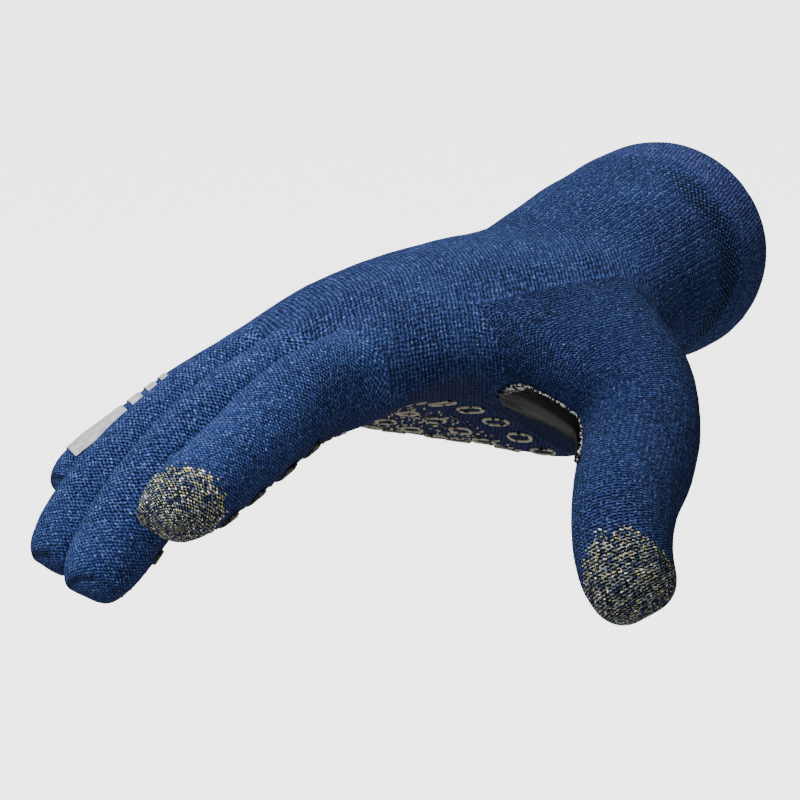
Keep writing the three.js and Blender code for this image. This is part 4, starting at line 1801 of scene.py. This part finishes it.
@dataclass
class RoughPrint:
    """The fine raised dashes printed between the palm's rings and along the undersides of two fingers."""

    finish: PrintFinish
    fields: tuple[PrintField, ...] = (
        PrintField(Tube.HAND, (2.2, 5.7), (10.9, 15.7), (27, 20)),
        PrintField(Tube.INDEX, (1.0, 5.9), (4.2, 5.8), (36, 5)),
        PrintField(Tube.MIDDLE, (1.0, 6.6), (4.2, 5.8), (38, 5)),
    )
    length: float = 2.0 * MM
    width: float = 0.75 * MM
    height: float = 0.28 * MM
    top: float = 0.6  # size of its top, as a share of its foot
    sides: int = 8
    clearance: float = 4.1 * MM  # least distance from the middle of a ring
    seed: int = 7
    row_place: tuple[float, float] = (0.1, 0.9)  # where a dash may lie in its row
    column_shift: float = 0.15  # how far it may lie out of its column
    leans: tuple[float, ...] = (-0.6, 0.15, 0.7)  # the turns that dashes are printed at, in radians
    lean_spread: float = 0.25

    def dash(
        self, bm: bmesh.types.BMesh, form: GloveForm, tube: Tube, middle: Vector, turn: float
    ) -> None:
        """Prints one dash.

        Args:
            bm: The mesh of all dashes.
            form: The glove's form.
            tube: The tube that it lies on.
            middle: Row and column of its middle.
            turn: How far it is turned from the line of the row.
        """
        tall, wide = form.spans_at(tube, *middle)
        base = bmesh.ops.create_circle(bm, cap_ends=True, segments=self.sides, radius=1)["verts"]
        top, _ = grow_ring(bm, base)
        bmesh.ops.contextual_create(bm, geom=top)
        for loop, share, lift in ((base, 1.0, 0.0), (top, self.top, self.height)):
            for i, vert in enumerate(loop):
                angle = math.tau * i / self.sides
                flat = Vector((self.width * math.sin(angle), self.length * math.cos(angle))) * (share / 2)
                flat.rotate(Matrix.Rotation(turn, 2))
                vert.co = form.at(tube, middle[0] + flat.x / tall, middle[1] + flat.y / wide, lift)

    def build(self, form: GloveForm, rings: PalmRings) -> bpy.types.Object:
        """Prints all the dashes that stay clear of the rings.

        Args:
            form: The glove's form.
            rings: The palm's rings.

        Returns:
            The piece.
        """
        chance = random.Random(self.seed)
        taken = [form.at(*spot) for spot in rings.spots()]
        bm = bmesh.new()
        for part in self.fields:
            for i in range(part.counts[0]):
                for j in range(part.counts[1]):
                    s = (i + chance.uniform(*self.row_place)) / part.counts[0]
                    shift = chance.uniform(-self.column_shift, self.column_shift)
                    t = (j + (i % 2) / 2 + shift) / part.counts[1]
                    middle = Vector((blend_number(*part.rows, s), blend_number(*part.columns, t)))
                    point = form.at(part.tube, *middle)
                    turn = chance.choice(self.leans) + chance.uniform(-self.lean_spread, self.lean_spread)
                    if all((point - other).length > self.clearance for other in taken):
                        self.dash(bm, form, part.tube, middle, turn)
        bmesh.ops.recalc_face_normals(bm, faces=bm.faces)
        mesh = mesh_of(bm, "rough_print", smooth=False)
        mesh.materials.append(self.finish.material())
        return show("rough_print", mesh, [])


# Painted shade: the thumb's lower level darkens its knit against the fingers', as it catches less light.
FINGER_KNIT = KnitFinish("finger_knit", BLUE_YARN, level=1.04)
THUMB_KNIT = KnitFinish("thumb_knit", BLUE_YARN, lay=(0.9, 0.0, 1.0), wave=0.1, level=0.71, uneven=2.4)


@dataclass(frozen=True)
class Stall:
    """One finger's knitted stall, and its tip of touchscreen yarn where it has one."""

    tube: Tube
    knit: KnitFinish = FINGER_KNIT
    palm: tuple[float, float] = (4.3, 6.5)  # columns of the palm side that is darkened with painted shade
    seam: Optional[TipSeam] = None
    touch: Optional[TouchZone] = None
    touch_relief: float = 0.6 * MM

    def build(self, form: GloveForm) -> None:
        """Knits the stall and its tip.

        Args:
            form: The glove's form.
        """
        name = self.tube.label
        palm = PalmSideShade(self.tube, *self.palm)
        knit = replace(self.knit, name=f"{name}_knit", palm=palm, touch=self.touch, seam=self.seam)
        KnitPiece(f"{name}_stall", knit).build(form)
        if self.touch:
            yarn = replace(self.knit, name=f"{name}_touch_yarn", touch=self.touch, relief=self.touch_relief)
            KnitPiece(f"{name}_touch_tip", yarn, "touch").build(form)


@dataclass
class Glove:
    """The glove: its form, its knitted pieces and what is printed on them."""

    form: GloveForm = field(default_factory=GloveForm)
    hem_thickness: float = 2.2 * MM
    stalls: tuple[Stall, ...] = (
        Stall(Tube.INDEX, touch=TouchZone(Tube.INDEX, 6.0, 0.55, 7.6)),
        Stall(Tube.MIDDLE, seam=TipSeam(Tube.MIDDLE, 6.9, 0.8, 0.35)),
        Stall(Tube.RING, seam=TipSeam(Tube.RING, 6.9, 0.6, 0.25)),
        Stall(Tube.LITTLE, seam=TipSeam(Tube.LITTLE, 6.9, 0.8, 0.25)),
        Stall(Tube.THUMB, THUMB_KNIT, (3.8, 8.6), touch=TouchZone(Tube.THUMB, 6.1, 1.37, 0.1, 0.1)),
    )
    reflector_rows: tuple[tuple[float, float], ...] = ((4.12, 5.97), (3.58, 3.93), (3.1, 3.4), (2.72, 2.95))
    reflector_columns: tuple[float, float] = (0.4, 1.9)
    grip_rows: tuple[float, ...] = (2.4, 3.3, 4.2, 5.1)
    grip_columns: tuple[float, float] = (4.6, 6.2)
    grip_length: float = 0.35

    def knit(self) -> None:
        """Builds the knitted pieces."""
        hem = KnitFinish("hem_rib", HEM_YARN, stitch=Stitch.RIB, pit=0.3, relief=0.4 * MM)
        # Painted shade: the cuff's and the hand's levels darken them as if they caught less light.
        cuff = KnitFinish(
            "cuff_knit", BLUE_YARN, lay=(0.7, 0.45, 0.65), level=0.78, uneven=1.7, open_band=OpenBand()
        )
        hand = KnitFinish(
            "hand_knit", BLUE_YARN, lay=(0.05, 0.32, 0.52), level=0.77, uneven=1.6,
            palm=PalmSideShade(Tube.HAND, 10.3, 18.4),
        )
        KnitPiece("cuff_hem", hem, "hem", self.hem_thickness, rolled_row=0.0).build(self.form)
        KnitPiece("cuff", cuff).build(self.form)
        KnitPiece("hand_body", hand).build(self.form)
        for stall in self.stalls:
            stall.build(self.form)

    def print_on(self) -> None:
        """Lays the film, the reflective bars, the grips, the palm's rings and the rough print."""
        Pad(
            "web_patch_film", ["web_patch"], Tube.THUMB, (0.12, 2.95), (2.3, 4.25), (44, 40), FilmFinish(),
            "film", thickness=0.45 * MM, drift=(-0.6, -1.9), roundness=0.6, ragged=0.07, crumple=1.0 * MM,
        ).build(self.form)
        for i, rows in enumerate(self.reflector_rows):
            node = f"reflector_bar_{i + 1}"
            steps = (40 if i == 0 else 8, 16)  # the first bar is the long one
            Pad(
                f"{node}_transfer", [node], Tube.LITTLE, rows, self.reflector_columns, steps,
                ReflectorFinish(), "reflector", lift=0.15 * MM, thickness=0.25 * MM,
            ).build(self.form)
        grip = PrintFinish("grip_print", linear(112, 108, 100), linear(22, 22, 26))
        for tube in (Tube.INDEX, Tube.MIDDLE):
            for i, row in enumerate(self.grip_rows):
                node = f"{tube.label}_grip_{i + 1}"
                rows = (row, row + self.grip_length)
                Pad(
                    f"{node}_print", [node], tube, rows, self.grip_columns, (8, 20),
                    grip, "print", thickness=0.6 * MM, roundness=0.3, ragged=0.05,
                ).build(self.form)
        rings = PalmRings()
        ring_print = PrintFinish("ring_print", linear(206, 200, 178), linear(30, 30, 34), 0.54)
        rings.build(self.form, ring_print.material())
        dash_print = PrintFinish("dash_print", linear(222, 214, 186), linear(8, 8, 12), 0.46)
        RoughPrint(dash_print).build(self.form, rings)


# Setting


@dataclass(frozen=True)
class Softbox:
    """One soft light, hung from the glove along shares of the camera's axes and of straight up."""

    name: str
    right: float
    up: float
    back: float
    above: float
    distance: float
    size: float
    watts: float


@dataclass
class Studio:
    """Floor, soft lights and camera."""

    target: Vector = field(default_factory=lambda: row_frame((-70.0, -15.0, -10.0)))
    azimuth: float = -39.504
    elevation: float = 20.402
    roll: float = -5.003
    distance: float = 0.894511
    lens_pixels: float = 3523.0
    centre: tuple[float, float] = (413.3, 392.48)  # the pixel that the lens points at
    picture: float = 800.0
    sensor: float = 36.0
    clip: tuple[float, float] = (0.05, 30.0)
    boxes: tuple[Softbox, ...] = (
        Softbox("key", -0.38, 0.0, 0.05, 1.0, 1.3, 1.1, 25.0),
        Softbox("fill", -0.3, 0.1, 0.9, 0.0, 1.5, 0.9, 3.0),
        Softbox("bounce", 0.0, 0.0, 0.3, -1.0, 0.25, 0.5, 0.45),
    )
    room_light: float = 0.16
    floor_level: float = -0.3
    floor_reach: float = 6.0
    floor_glow: float = 3.3

    def axes(self) -> tuple[Vector, Vector, Vector]:
        """The camera's right, up and back."""
        a, e, r = (math.radians(v) for v in (self.azimuth, self.elevation, self.roll))
        back = Vector((math.sin(a) * math.cos(e), -math.cos(a) * math.cos(e), math.sin(e)))
        right = Vector((math.cos(a), math.sin(a), 0))
        up = back.cross(right)
        return right * math.cos(r) + up * math.sin(r), up * math.cos(r) - right * math.sin(r), back

    def camera(self) -> None:
        """Sets the camera at its angle."""
        right, up, back = self.axes()
        data = bpy.data.cameras.new("camera")
        data.sensor_width = self.sensor
        data.lens = self.lens_pixels * self.sensor / self.picture
        data.shift_x = (self.picture / 2 - self.centre[0]) / self.picture
        data.shift_y = (self.centre[1] - self.picture / 2) / self.picture
        data.clip_start, data.clip_end = self.clip
        camera = stand("camera", data)
        place = Matrix((right, up, back)).transposed().to_4x4()
        place.translation = self.target + back * self.distance
        camera.matrix_world = place
        bpy.context.scene.camera = camera

    def hang(self, box: Softbox) -> None:
        """Hangs one soft light so that it faces the glove.

        Args:
            box: The light.
        """
        right, up, back = self.axes()
        direction = Vector((0, 0, box.above)) + right * box.right + back * box.back + up * box.up
        data = bpy.data.lights.new(box.name, "AREA")
        data.shape = "SQUARE"
        data.size = box.size
        data.energy = box.watts
        light = stand(box.name, data)
        light.location = self.target + direction.normalized() * box.distance
        light.rotation_euler = direction.to_track_quat("Z", "Y").to_euler()
        light.visible_camera = False

    def lights(self) -> None:
        """Hangs the soft lights and sets the room's tone."""
        for box in self.boxes:
            self.hang(box)
        world = bpy.data.worlds.new("room")
        world.use_nodes = True
        room = world.node_tree.nodes["Background"]
        room.inputs["Color"].default_value = (1.0, 1.0, 1.0, 1.0)
        room.inputs["Strength"].default_value = self.room_light
        bpy.context.scene.world = world

    def floor(self) -> None:
        """Lays the pale floor, bright and even as a lit table."""
        bm = bmesh.new()
        bmesh.ops.create_grid(bm, x_segments=2, y_segments=2, size=self.floor_reach)
        bmesh.ops.translate(bm, vec=(0, 0, self.floor_level), verts=bm.verts)
        mesh = mesh_of(bm, "floor", smooth=False)
        dye = DyeBath("floor_paint")
        mottle = dye.clouds(dye.place(), 3.0) * 0.1
        dye.set(Base_Color=dye.mix(mottle, linear(200, 200, 200), linear(190, 190, 190)), Roughness=0.95)
        dye.set(Emission_Color=(1.0, 1.0, 1.0, 1.0), Emission_Strength=self.floor_glow)
        mesh.materials.append(dye.material)
        floor = stand("floor", mesh)
        floor.visible_diffuse = False
        floor.visible_glossy = False


def main() -> None:
    """Builds the setting and the glove."""
    logging.basicConfig(level=logging.INFO, format="%(message)s")
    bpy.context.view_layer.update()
    studio = Studio()
    studio.camera()
    studio.lights()
    studio.floor()
    glove = Glove()
    glove.knit()
    glove.print_on()


if __name__ == "__main__":
    main()
